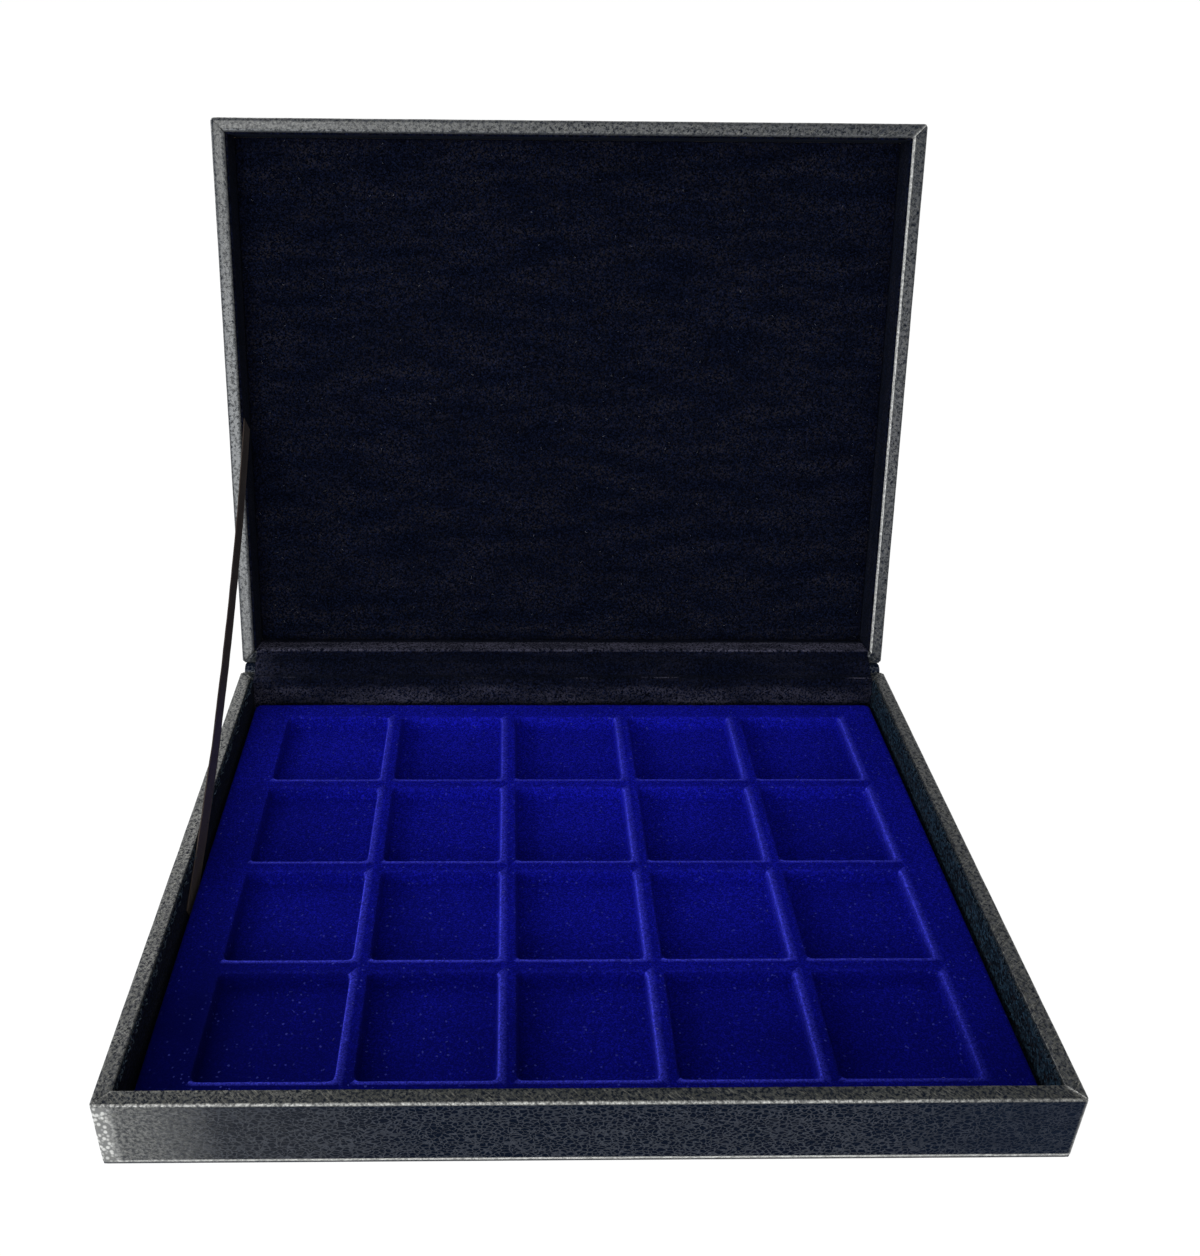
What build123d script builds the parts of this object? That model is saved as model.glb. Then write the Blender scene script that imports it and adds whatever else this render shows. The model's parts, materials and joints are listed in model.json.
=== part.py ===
from build123d import *
import os
from math import atan2, cos, degrees, radians, sin

# Coin box: a shallow hinged case, standing open on its stay ribbon.
# Frame: origin at the centre of the underside, +Z up, -Y to the front, sizes in millimetres.
# The lid is built shut over the base, and the last step turns it back about the hinge.

# Coin tray
pocket_columns = 5
pocket_rows = 4
pocket_size = 51.0  # square lip, for a 50 mm coin frame
pocket_depth = 6.0
pocket_draft = 1.0  # how far each pocket wall leans in from lip to floor
pocket_corner = 4.0
pocket_lip_ease = 0.6  # the lip flares and drops this far
divider_width = 6.65
border_side = 18.6
border_front = 10.4
border_back = 12.0
tray_wall = 1.0
tray_height = 13.8
tray_corner = 4.5
tray_edge_radius = 1.5
skirt_draft = 0.5  # how far the skirt's foot stands out past the top

# Room round the tray
tray_side_gap = 2.0
tray_front_gap = 1.9
tray_back_gap = 6.2
rim_above_tray = 12.0

# Walls, alike on base and lid
cover_thickness = 0.7  # grained leatherette
strip_thickness = 5.0  # wood fibre wall strips
lining_thickness = 0.8  # velvet on thin card
corner_radius = 1.8
rim_outer_radius = 1.2
rim_inner_radius = 0.6
lining_reveal = 1.5  # how far the linings stop short of the rims
turn_in = 9.0  # how far the covers run down inside the walls

# Base floor
sheet_thickness = 0.9
sheet_inset = 1.0
base_edge_fold = 0.6  # where the covers fold under the base
turn_under = 12.0  # how far the covers run in under the base
base_board_thickness = 2.5
board_rebate = 2.5  # how far the board reaches into the wall strips
floor_lining_thickness = 1.0
floor_fit = 0.2  # room round the floor lining

# Lid top
lid_inner_depth = 16.8  # from the lid's rim to the face of its pad
pad_velvet_thickness = 1.0
pad_edge_radius = 0.8
pad_card_thickness = 1.0
pad_fit = 0.5  # room round the pad
lid_board_thickness = 2.5
lid_edge_radius = 1.5

# Hinge
open_angle = 103.7  # from shut to the ribbon's stop
hinge_behind = 3.4  # axis behind the back walls
hinge_below_rim = 1.3  # axis below the base's rim
shut_gap = 0.3  # between the rims when shut
spine_thickness = 0.8
spine_tab = 12.0  # glued length on each back wall
spine_end_inset = 2.0
fold_thickness = 0.8  # velvet hinge strip, inside
fold_drop = 1.2  # the back rims are this much lower between the side walls
fold_radius = 0.6
fold_end_fit = 0.3
fold_foot_gap = 1.0  # between the tray and the foot of the velvet strip
fold_foot_rise = 3.0  # the foot stands upright this far
fold_leave = 2.4  # the velvet leaves the base's rim this far before the spine
fold_hump = 1.6  # passes this far over the spine
fold_lead = 0.8  # with its hump this far before the axis
fold_land = 4.0  # and lands this far along the lid's rim

# Stay ribbon
ribbon_width = 13.0
ribbon_thickness = 0.5
ribbon_sag = 10.0
ribbon_base_setback = 160.4  # its foot, in front of the base's back face
ribbon_foot_clear = 1.0  # its lower edge, above the floor lining
ribbon_lid_setback = 124.3  # its head, in front of the lid's back face
ribbon_lid_depth = 8.4  # its head, inside the lid's rim

# Sizes that follow
rim_width = 2 * cover_thickness + strip_thickness
lined_wall = rim_width + lining_thickness
pocket_pitch = pocket_size + divider_width
tray_width = pocket_columns * pocket_pitch - divider_width + 2 * border_side
tray_depth = pocket_rows * pocket_pitch - divider_width + border_front + border_back
box_width = tray_width + 2 * (tray_side_gap + lined_wall)
box_depth = lined_wall + tray_front_gap + tray_depth + tray_back_gap + rim_width
front_face = -box_depth / 2
back_face = box_depth / 2
board_top = sheet_thickness + base_board_thickness
floor_top = board_top + floor_lining_thickness
tray_top = floor_top + tray_height
base_height = tray_top + rim_above_tray
lid_ceiling = cover_thickness + lid_board_thickness
pad_face = lid_ceiling + pad_card_thickness + pad_velvet_thickness
lid_height = pad_face + lid_inner_depth
tray_front = front_face + lined_wall + tray_front_gap
tray_back = tray_front + tray_depth
hinge_y = back_face + hinge_behind
hinge_z = base_height - hinge_below_rim
fold_lift = fold_thickness / 2 + fold_radius * (1 - cos(radians(45)))  # middle of the velvet, off a rim
overrun = 1.0  # how far cutting shapes run past what they cut
slack = 0.01  # room when edges are picked by place

SIDES = {"front": 0, "right": 90, "back": 180, "left": 270}  # turn of each side about Z
LINED_SIDES = ("front", "right", "left")


def block(width, depth, low, high, radius=0.0):
    """Upright block about the Z axis, with rounded upright corners where a radius is given."""
    outline = RectangleRounded(width, depth, radius) if radius > 0 else Rectangle(width, depth)
    return Pos(0, 0, low) * extrude(outline, high - low)


def inset_block(inset, low, high):
    """Block with the box's own outline, set in on all four sides."""
    radius = max(corner_radius - inset, 0.0)
    return block(box_width - 2 * inset, box_depth - 2 * inset, low, high, radius)


def opening_block(inset, low, high):
    """Square-cornered space between the inner faces of the walls at an inset."""
    return block(box_width - 2 * inset, box_depth - 2 * inset, low, high)


def ring(outer_inset, inner_inset, low, high):
    """Four-sided wall ring between two insets from the box's outline."""
    hollow = opening_block(inner_inset, low - overrun, high + overrun)
    return inset_block(outer_inset, low, high) - hollow


def edges_at(shape, height):
    """Edges that lie flat at one height."""
    return shape.edges().filter_by_position(Axis.Z, height, height)


def round_inner_rim(shape, rim):
    """Rounds the straight inner edges of a wall ring's rim."""
    reach_x = box_width / 2 - rim_width + slack
    reach_y = box_depth / 2 - rim_width + slack
    inner = edges_at(shape, rim).filter_by(
        lambda edge: abs(edge.center().X) < reach_x and abs(edge.center().Y) < reach_y
    )
    return fillet(inner, rim_inner_radius)


def back_notch(rim, skin):
    """Space over the back rim between the side walls, where the velvet hinge strip lies."""
    width = box_width - 2 * (rim_width - skin)
    depth = rim_width + 2 * overrun
    height = fold_drop + skin + overrun
    outline = Rectangle(width, depth)
    return Pos(0, back_face - rim_width / 2, rim + overrun - height) * extrude(outline, height)


def mitre_wedge(side, height):
    """Upright wedge that holds one side of a wall ring and ends on its two mitre lines."""
    reach = turn_under + lined_wall
    across, along = box_width / 2, box_depth / 2
    if side in ("left", "right"):
        across, along = along, across
    outline = [
        (-across - overrun, -along - overrun),
        (across + overrun, -along - overrun),
        (across - reach, -along + reach),
        (-across + reach, -along + reach),
    ]
    face = make_face(Polyline(*outline, close=True))
    return Rot(Z=SIDES[side]) * Pos(0, 0, -overrun) * extrude(face, height + 2 * overrun)


def split_by_side(name, walls, height, sides=SIDES):
    """Cuts a wall ring at its mitres into one named piece for each side."""
    return {name.format(side): walls & mitre_wedge(side, height) for side in sides}


def base_walls():
    """Wall strips, leatherette covers and velvet linings of the base, with its boards."""
    rim = base_height
    strip_low = sheet_thickness + cover_thickness
    strip_inner = cover_thickness + strip_thickness

    outer = inset_block(0, sheet_thickness, rim)
    outer = fillet(edges_at(outer, rim), rim_outer_radius)
    outer = chamfer(edges_at(outer, sheet_thickness), base_edge_fold)

    under_leg = outer & ring(0, turn_under, sheet_thickness, strip_low)
    board_inset = strip_inner - board_rebate
    board = opening_block(board_inset, sheet_thickness, board_top) - under_leg

    strips = ring(cover_thickness, strip_inner, strip_low, rim - cover_thickness)
    strips -= back_notch(rim, cover_thickness)
    strips -= board

    covers = outer - opening_block(rim_width, sheet_thickness - overrun, rim + overrun)
    covers = round_inner_rim(covers, rim)
    covers -= back_notch(rim, 0)
    covers -= strips
    covers -= ring(strip_inner, rim_width, strip_low, rim - turn_in)
    covers += under_leg
    covers -= board

    linings = ring(rim_width, lined_wall, floor_top, rim - lining_reveal)
    floor = opening_block(strip_inner + floor_fit, board_top, floor_top)
    sheet = inset_block(sheet_inset, 0, sheet_thickness)

    pieces = {
        "underside_sheet": sheet,
        "base_board": board,
        "base_floor_lining": floor,
    }
    pieces.update(split_by_side("base_{}_strip", strips, rim))
    pieces.update(split_by_side("base_{}_cover", covers, rim))
    pieces.update(split_by_side("base_{}_lining", linings, rim, LINED_SIDES))
    return pieces


def lid_walls():
    """The lid's pieces, built with its outside down at Z = 0 and its rim up."""
    rim = lid_height
    strip_inner = cover_thickness + strip_thickness

    board = inset_block(cover_thickness, cover_thickness, lid_ceiling)
    board = chamfer(edges_at(board, cover_thickness), (lid_edge_radius - cover_thickness) / 2)

    strips = ring(cover_thickness, strip_inner, lid_ceiling, rim - cover_thickness)
    strips -= back_notch(rim, cover_thickness)

    outer = inset_block(0, 0, rim)
    outer = fillet(edges_at(outer, rim), rim_outer_radius)
    outer = fillet(edges_at(outer, 0), lid_edge_radius)
    covers = outer - opening_block(rim_width, lid_ceiling, rim + overrun)
    covers = round_inner_rim(covers, rim)
    covers -= back_notch(rim, 0)
    covers -= board
    covers -= strips
    covers -= ring(strip_inner, rim_width, lid_ceiling, rim - turn_in)
    top_zone = opening_block(-overrun, -overrun, lid_edge_radius)

    linings = ring(rim_width, lined_wall, lid_ceiling, rim - lining_reveal)

    pieces = {
        "lid_board": board,
        "lid_top_cover": covers & top_zone,
    }
    pieces.update(split_by_side("lid_{}_strip", strips, rim))
    pieces.update(split_by_side("lid_{}_cover", covers - top_zone, rim))
    pieces.update(split_by_side("lid_{}_lining", linings, rim, LINED_SIDES))
    pieces.update(lid_pad())
    return pieces


def lid_pad():
    """Velvet-covered card that lines the lid's top, with the velvet turned over its edges."""
    front = front_face + lined_wall + pad_fit
    back = back_face - rim_width - fold_lift - fold_thickness / 2 - pad_fit
    width = box_width - 2 * (lined_wall + pad_fit)
    middle = Pos(0, (front + back) / 2, 0)
    velvet = middle * block(width, back - front, lid_ceiling, pad_face)
    velvet = fillet(edges_at(velvet, pad_face), pad_edge_radius)
    card_width = width - 2 * pad_velvet_thickness
    card_depth = back - front - 2 * pad_velvet_thickness
    card = middle * block(card_width, card_depth, lid_ceiling, lid_ceiling + pad_card_thickness)
    return {"lid_pad_card": card, "lid_pad_velvet": velvet - card}


def shut_over_base(shape):
    """Turns a lid piece rim down and sets it over the base, shut."""
    return Pos(0, 0, base_height + shut_gap + lid_height) * mirror(shape, about=Plane.XY)


def swing_open(shape):
    """Turns a shut lid piece back to the ribbon's stop."""
    return Pos(0, hinge_y, hinge_z) * Rot(X=-open_angle) * Pos(0, -hinge_y, -hinge_z) * shape


def opened(y, depth):
    """Section point of the open lid, from its shut Y and its depth inside the lid's rim."""
    turn = radians(open_angle)
    behind = y - hinge_y
    above = base_height + shut_gap + depth - hinge_z
    return (
        hinge_y + behind * cos(turn) + above * sin(turn),
        hinge_z - behind * sin(turn) + above * cos(turn),
    )


def across_box(section, width):
    """Extrudes a section drawn in (Y, Z) across the box, centred on it."""
    return extrude(Plane.YZ * section, width / 2, both=True)


def pocket_space():
    """Space of one pocket, hung from Z = 0: a drafted well under an eased lip."""
    sections = []
    for inset, height in (
        (pocket_draft, -pocket_depth),
        (pocket_draft * pocket_lip_ease / pocket_depth, -pocket_lip_ease),
        (-pocket_lip_ease, 0.0),
    ):
        side = pocket_size - 2 * inset
        sections.append(Pos(0, 0, height) * RectangleRounded(side, side, pocket_corner - inset))
    return loft(sections, ruled=True)


def coin_tray():
    """Thin thermoformed shell: drafted pockets with eased lips, a top plane and a skirt."""
    middle = Pos(0, (tray_front + tray_back) / 2, 0)
    taper = degrees(atan2(skirt_draft, tray_height))
    lean = degrees(atan2(pocket_draft, pocket_depth))

    foot = RectangleRounded(tray_width + 2 * skirt_draft, tray_depth + 2 * skirt_draft, tray_corner)
    shell = middle * Pos(0, 0, floor_top) * extrude(foot, tray_height, taper=taper)
    shell = fillet(edges_at(shell, tray_top), tray_edge_radius)

    foot_inside = RectangleRounded(
        tray_width + 2 * (skirt_draft - tray_wall),
        tray_depth + 2 * (skirt_draft - tray_wall),
        tray_corner - tray_wall,
    )
    cavity = middle * Pos(0, 0, floor_top) * extrude(foot_inside, tray_height - tray_wall, taper=taper)

    pocket = pocket_space()
    cup_size = pocket_size + 2 * tray_wall
    cup = extrude(Rectangle(cup_size, cup_size), -pocket_depth - tray_wall, taper=lean)

    first_y = tray_front + border_front + pocket_size / 2
    first_x = -(pocket_columns - 1) * pocket_pitch / 2
    places = [
        Pos(first_x + column * pocket_pitch, first_y + row * pocket_pitch, tray_top)
        for row in range(pocket_rows)
        for column in range(pocket_columns)
    ]
    cavity -= [place * cup for place in places]
    shell -= [place * pocket for place in places]
    return shell - cavity


def hinge_spine():
    """Leatherette strip along the back: up the base, round the hinge axis and along the lid."""
    radius = hinge_behind - spine_thickness / 2
    turn = radians(open_angle)
    start = (hinge_y - radius, hinge_z)
    end = (hinge_y - radius * cos(turn), hinge_z + radius * sin(turn))
    crown = (hinge_y - radius * cos(turn / 2), hinge_z + radius * sin(turn / 2))
    tail = (end[0] + spine_tab * sin(turn), end[1] + spine_tab * cos(turn))
    path = Line((start[0], start[1] - spine_tab), start)
    path += ThreePointArc(start, crown, end)
    path += Line(end, tail)
    return across_box(trace(path, spine_thickness), box_width - 2 * spine_end_inset)


def velvet_fold():
    """Velvet strip inside: from behind the tray, over both back rims and into the lid."""
    foot_y = tray_back + skirt_draft + fold_foot_gap + fold_thickness / 2
    wall_y = back_face - rim_width - fold_lift
    base_rim = base_height - fold_drop + fold_lift
    lid_rim = fold_drop - fold_lift
    lid_end = lid_height - lid_ceiling - fold_end_fit
    points = [
        (foot_y, floor_top),
        (foot_y, floor_top + fold_foot_rise),
        (wall_y, base_rim),
        (back_face - fold_leave, base_rim),
        (hinge_y - fold_lead, hinge_z + hinge_behind + fold_hump),
        opened(back_face - fold_land, lid_rim),
        opened(wall_y, lid_rim),
        opened(wall_y, lid_end),
    ]
    path = FilletPolyline(*points, radius=fold_radius)
    return across_box(trace(path, fold_thickness), box_width - 2 * (lined_wall + fold_end_fit))


def stay_ribbon():
    """Satin ribbon beside the left walls, hanging in a slight curve from the lid to the base."""
    head = Vector(*opened(back_face - ribbon_lid_setback, ribbon_lid_depth))
    foot = Vector(back_face - ribbon_base_setback, floor_top + ribbon_foot_clear + ribbon_width / 2)
    chord = head - foot
    hang = Vector(chord.Y, -chord.X).normalized()
    crown = (head + foot) / 2 + hang * ribbon_sag
    path = ThreePointArc(foot, crown, head)
    flat = Plane.YZ * trace(path, ribbon_width)
    wall_x = -box_width / 2 + lined_wall
    return Pos(wall_x, 0, 0) * extrude(flat, ribbon_thickness)


pieces = base_walls()
pieces["coin_tray"] = coin_tray()
for piece_name, piece in lid_walls().items():
    pieces[piece_name] = swing_open(shut_over_base(piece))
pieces["hinge_spine"] = hinge_spine()
pieces["velvet_hinge_strip"] = velvet_fold()
pieces["stay_ribbon"] = stay_ribbon()

os.makedirs("parts", exist_ok=True)
for piece_name, piece in pieces.items():
    export_step(piece, f"parts/{piece_name}.step")
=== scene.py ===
import json
import logging
import math
from abc import ABC, abstractmethod
from dataclasses import dataclass, field
from enum import Enum
from itertools import accumulate
from typing import Any, Callable

import bmesh
import bpy
from mathutils import Matrix, Vector, noise


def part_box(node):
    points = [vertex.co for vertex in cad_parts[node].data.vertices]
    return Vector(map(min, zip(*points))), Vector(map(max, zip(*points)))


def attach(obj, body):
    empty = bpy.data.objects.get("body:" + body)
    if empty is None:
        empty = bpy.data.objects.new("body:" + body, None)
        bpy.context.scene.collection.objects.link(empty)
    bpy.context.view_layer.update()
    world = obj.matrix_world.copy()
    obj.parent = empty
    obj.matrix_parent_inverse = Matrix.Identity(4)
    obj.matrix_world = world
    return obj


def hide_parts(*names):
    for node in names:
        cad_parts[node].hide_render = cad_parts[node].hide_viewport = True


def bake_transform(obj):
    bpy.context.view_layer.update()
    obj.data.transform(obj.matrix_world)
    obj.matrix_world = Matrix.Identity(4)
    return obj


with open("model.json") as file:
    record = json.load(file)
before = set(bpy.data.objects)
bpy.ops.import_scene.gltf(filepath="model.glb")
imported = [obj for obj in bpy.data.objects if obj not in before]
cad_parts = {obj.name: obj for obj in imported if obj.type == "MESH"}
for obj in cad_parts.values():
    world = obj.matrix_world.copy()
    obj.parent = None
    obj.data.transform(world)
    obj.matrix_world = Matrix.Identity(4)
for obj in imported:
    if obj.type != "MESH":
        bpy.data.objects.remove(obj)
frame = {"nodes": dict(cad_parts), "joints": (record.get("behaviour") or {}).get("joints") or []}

# Coin box, standing open on its stay ribbon, seen from the front.
# Everything is in metres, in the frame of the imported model: +Z up, -Y to the front.

MM = 0.001
WRAP = "wrap"  # the UV map of every piece made here, in metres along and across its material
PAINTED_HIGHLIGHT = "edge"  # vertex value: painted highlight and painted reflection, 1 where brightest, on folds, mitres, rims and tray lips
DRAWN = "drawn"  # vertex value: 1 where the leatherette is drawn smooth and pale; on the front's left end the paleness is painted reflection
POLISH = "polish"  # vertex value: 1 where handling has polished the leatherette, below 0 where it is dull, which also lays painted shade under the front's top fold
LOG = logging.getLogger("coin_box")

Point = tuple[float, float]
Place = tuple[float, float, float]
Colour = tuple[float, float, float]
Piece = bpy.types.Object
Material = bpy.types.Material


class Side(Enum):
    """Side of the case, with its turn about Z from the front."""

    FRONT = 0
    RIGHT = 90
    BACK = 180
    LEFT = 270

    @property
    def label(self) -> str:
        """Name of the side as the frame's nodes write it."""
        return self.name.lower()

    @property
    def turn(self) -> Matrix:
        """Turn about Z that brings the front to this side."""
        return Matrix.Rotation(math.radians(self.value), 4, "Z")

    @property
    def crosswise(self) -> bool:
        """True for the two sides that run from front to back."""
        return self in (Side.RIGHT, Side.LEFT)


class Half(Enum):
    """Half of the case, with the way its walls run from the rim."""

    BASE = -1
    LID = 1

    @property
    def body(self) -> str:
        """Name of the body that carries this half."""
        return self.name.lower()


@dataclass(frozen=True)
class Case:
    """Sizes that all sub-assemblies share: the outer ones from the frame, the rest as in the part."""

    half_x: float
    half_y: float
    base_height: float
    hinge_y: float
    hinge_z: float
    open_angle: float
    cover: float = 0.7 * MM
    strip: float = 5.0 * MM
    lining: float = 0.8 * MM
    corner: float = 1.8 * MM
    reveal: float = 1.5 * MM
    shut_gap: float = 0.3 * MM
    lid_height: float = 22.0 * MM
    lid_ceiling: float = 3.2 * MM
    floor_top: float = 4.4 * MM
    sheet: float = 0.9 * MM

    @property
    def rim(self) -> float:
        """Width of a rim, leatherette included."""
        return 2 * self.cover + self.strip

    @property
    def lid_rim(self) -> float:
        """Height of the lid's rim when it is shut."""
        return self.base_height + self.shut_gap

    def height(self, half: Half, depth: float) -> float:
        """Height of a point at a depth below a half's rim, with the lid shut."""
        rim = self.base_height if half is Half.BASE else self.lid_rim
        return rim + half.value * depth

    def reach(self, side: Side) -> Point:
        """Half of the box along a side's wall, and half of it the other way."""
        return (self.half_y, self.half_x) if side.crosswise else (self.half_x, self.half_y)

    @property
    def lid_place(self) -> Matrix:
        """Turn about the hinge that takes a shut lid piece to where the lid stands open."""
        hinge = Matrix.Translation((0, self.hinge_y, self.hinge_z))
        return hinge @ Matrix.Rotation(-self.open_angle, 4, "X") @ hinge.inverted()

    def opened(self, y: float, depth: float) -> Point:
        """Place in section of a point of the open lid.

        Args:
            y: Its place when the lid is shut.
            depth: Its depth inside the lid's rim.

        Returns:
            Its Y and Z with the lid open.
        """
        there = self.lid_place @ Vector((0, y, self.lid_rim + depth))
        return there.y, there.z


def read_case() -> Case:
    """Reads the outer sizes and the hinge from the frame.

    Returns:
        The sizes of this case.
    """
    sheet_inset = 1.0 * MM
    sheet_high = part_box("underside_sheet")[1]
    front_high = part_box("base_front_cover")[1]
    hinge = next(joint for joint in frame["joints"] if joint["name"] == "lid_hinge")
    return Case(
        half_x=sheet_high.x + sheet_inset,
        half_y=sheet_high.y + sheet_inset,
        base_height=front_high.z,
        hinge_y=hinge["pos_m"][1],
        hinge_z=hinge["pos_m"][2],
        open_angle=math.radians(hinge["range_deg"][1]),
    )


class Sock:
    """A node's output that takes part in Python arithmetic, one Math node for each step."""

    def __init__(self, graph: "NodeGraph", socket: bpy.types.NodeSocket) -> None:
        """Keeps the socket and the graph that its Math nodes go into."""
        self.graph = graph
        self.socket = socket

    def math(self, operation: str, *values: Any) -> "Sock":
        """Adds one Math node.

        Args:
            operation: The node's operation.
            values: Its inputs, in order.

        Returns:
            The node's result.
        """
        made = self.graph.node("ShaderNodeMath", {"operation": operation}, dict(enumerate(values)))
        return Sock(self.graph, made.outputs[0])

    def __add__(self, other: Any) -> "Sock":
        """Sum."""
        return self.math("ADD", self, other)

    def __radd__(self, other: Any) -> "Sock":
        """Sum, number first."""
        return self.math("ADD", other, self)

    def __sub__(self, other: Any) -> "Sock":
        """Difference."""
        return self.math("SUBTRACT", self, other)

    def __rsub__(self, other: Any) -> "Sock":
        """Difference, number first."""
        return self.math("SUBTRACT", other, self)

    def __mul__(self, other: Any) -> "Sock":
        """Product."""
        return self.math("MULTIPLY", self, other)

    def __rmul__(self, other: Any) -> "Sock":
        """Product, number first."""
        return self.math("MULTIPLY", other, self)

    def __truediv__(self, other: Any) -> "Sock":
        """Quotient."""
        return self.math("DIVIDE", self, other)

    def __pow__(self, other: Any) -> "Sock":
        """Power."""
        return self.math("POWER", self, other)

    def sin(self) -> "Sock":
        """Sine of an angle in radians."""
        return self.math("SINE", self)

    def cos(self) -> "Sock":
        """Cosine of an angle in radians."""
        return self.math("COSINE", self)

    def abs(self) -> "Sock":
        """Size without sign."""
        return self.math("ABSOLUTE", self)

    def at_least(self, other: Any) -> "Sock":
        """The larger of two values."""
        return self.math("MAXIMUM", self, other)

    def at_most(self, other: Any) -> "Sock":
        """The smaller of two values."""
        return self.math("MINIMUM", self, other)

    def ramp(self, low: float, high: float) -> "Sock":
        """Straight rise from 0 at low to 1 at high, held at both ends."""
        return ((self - low) * (1.0 / (high - low))).at_least(0.0).at_most(1.0)

    def smooth(self, low: float, high: float) -> "Sock":
        """Rise from 0 at low to 1 at high, eased at both ends."""
        straight = self.ramp(low, high)
        return straight * straight * (3.0 - 2.0 * straight)


class NodeGraph:
    """A node tree whose nodes all come from one method."""

    def __init__(self, tree: bpy.types.NodeTree) -> None:
        """Keeps the tree that the nodes go into."""
        self.tree = tree

    def node(
        self, kind: str, settings: dict[str, Any] | None = None, inputs: dict[int | str, Any] | None = None
    ) -> bpy.types.Node:
        """Adds one node.

        Args:
            kind: The node's type.
            settings: Its own settings, such as an operation, set first.
            inputs: Values or links of its sockets, by index, name or identifier.

        Returns:
            The new node.
        """
        made = self.tree.nodes.new(kind)
        for name, value in (settings or {}).items():
            setattr(made, name, value)
        for key, value in (inputs or {}).items():
            self.feed(self.find(made.inputs, key), value)
        return made

    def out(
        self, kind: str, output: int | str, settings: dict | None = None, inputs: dict | None = None
    ) -> Sock:
        """Adds one node and gives one of its outputs."""
        made = self.node(kind, settings, inputs)
        return Sock(self, self.find(made.outputs, output))

    def feed(self, socket: bpy.types.NodeSocket, value: Any) -> None:
        """Links a socket, or sets its own value.

        Args:
            socket: The input.
            value: A link, a socket or a value.
        """
        if isinstance(value, Sock):
            self.tree.links.new(value.socket, socket)
        elif isinstance(value, bpy.types.NodeSocket):
            self.tree.links.new(value, socket)
        else:
            socket.default_value = value

    def vector(self, operation: str, *values: Any) -> Sock:
        """Adds one Vector Math node and gives its vector."""
        return self.out("ShaderNodeVectorMath", "Vector", {"operation": operation}, dict(enumerate(values)))

    def scaled(self, vector: Sock, factor: float) -> Sock:
        """Scales a vector by one number."""
        inputs = {"Vector": vector, "Scale": factor}
        return self.out("ShaderNodeVectorMath", "Vector", {"operation": "SCALE"}, inputs)

    def split(self, vector: Sock) -> tuple[Sock, Sock, Sock]:
        """Takes a vector apart."""
        made = self.node("ShaderNodeSeparateXYZ", inputs={0: vector})
        return tuple(Sock(self, output) for output in made.outputs)

    def join(self, x: Any, y: Any, z: Any) -> Sock:
        """Puts three values together as a vector."""
        return self.out("ShaderNodeCombineXYZ", 0, inputs={0: x, 1: y, 2: z})

    def mix(self, share: Any, first: Any, second: Any) -> Sock:
        """Mixes two colours."""
        inputs = {"Factor_Float": share, "A_Color": self.opaque(first), "B_Color": self.opaque(second)}
        return self.out("ShaderNodeMix", "Result_Color", {"data_type": "RGBA"}, inputs)

    @staticmethod
    def opaque(colour: Any) -> Any:
        """A colour as its socket takes it: a link as it is, three numbers with full alpha."""
        return colour if isinstance(colour, Sock) else (*colour, 1.0)

    def noise(self, vector: Sock, scale: float, detail: float = 2.0, roughness: float = 0.5) -> Sock:
        """Smooth random value from 0 to 1."""
        inputs = {"Vector": vector, "Scale": scale, "Detail": detail, "Roughness": roughness}
        return self.out("ShaderNodeTexNoise", 0, inputs=inputs)

    @staticmethod
    def find(sockets: Any, key: int | str) -> bpy.types.NodeSocket:
        """Finds a socket by index, identifier or name.

        Args:
            sockets: A node's inputs or outputs.
            key: What names the socket.

        Returns:
            The socket.
        """
        if isinstance(key, int):
            return sockets[key]
        for socket in sockets:
            if socket.identifier == key:
                return socket
        return sockets[key]


class ShaderGraph(NodeGraph):
    """Node tree of one material, with a principled shader at its end."""

    def __init__(self, name: str) -> None:
        """Makes the material and clears its tree.

        Args:
            name: The material's name.
        """
        self.material = bpy.data.materials.new(name)
        self.material.use_nodes = True
        super().__init__(self.material.node_tree)
        self.tree.nodes.clear()

    def wrap(self, along: float = 1.0, across: float = 1.0) -> Sock:
        """The piece's own UV map, in metres over two lengths."""
        uv = self.out("ShaderNodeUVMap", 0, {"uv_map": WRAP})
        return self.vector("MULTIPLY", uv, (1.0 / along, 1.0 / across, 1.0))

    def patches(self, size: Point, detail: float = 3.0, roughness: float = 0.5) -> Sock:
        """Smooth random value from 0 to 1, in patches of a size along and across the material."""
        return self.noise(self.wrap(*size), 1.0, detail, roughness)

    def place(self) -> Sock:
        """Place on the object, in metres."""
        return self.out("ShaderNodeTexCoord", "Object")

    def attribute(self, name: str) -> Sock:
        """A value kept on the mesh."""
        return self.out("ShaderNodeAttribute", "Fac", {"attribute_name": name})

    def grains(self, vector: Sock, scale: float) -> Sock:
        """One random value from 0 to 1 for each small cell."""
        inputs = {"Vector": vector, "Scale": scale}
        return self.split(self.out("ShaderNodeTexVoronoi", "Color", {"feature": "F1"}, inputs))[0]

    def bump(self, height: Sock, distance: float) -> Sock:
        """Normal that follows a height from 0 to 1 over a real distance."""
        return self.out("ShaderNodeBump", 0, inputs={"Height": height, "Distance": distance, "Strength": 1.0})

    def finish(self, colour: Any, roughness: Any, normal: Sock | None = None, **constants: Any) -> Material:
        """Closes the tree with a principled shader.

        Args:
            colour: Base colour.
            roughness: Roughness.
            normal: Bumped normal, if any.
            constants: Other sockets, written with underscores for spaces.

        Returns:
            The finished material.
        """
        inputs = {"Base Color": self.opaque(colour), "Roughness": roughness}
        if normal is not None:
            inputs["Normal"] = normal
        for name, value in constants.items():
            inputs[name.replace("_", " ")] = value
        shader = self.node("ShaderNodeBsdfPrincipled", inputs=inputs)
        self.node("ShaderNodeOutputMaterial", inputs={"Surface": shader.outputs[0]})
        return self.material


class Finish(ABC):
    """A finish that makes its material once."""

    @abstractmethod
    def material(self) -> Material:
        """Makes the material.

        Returns:
            The finished material.
        """


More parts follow.
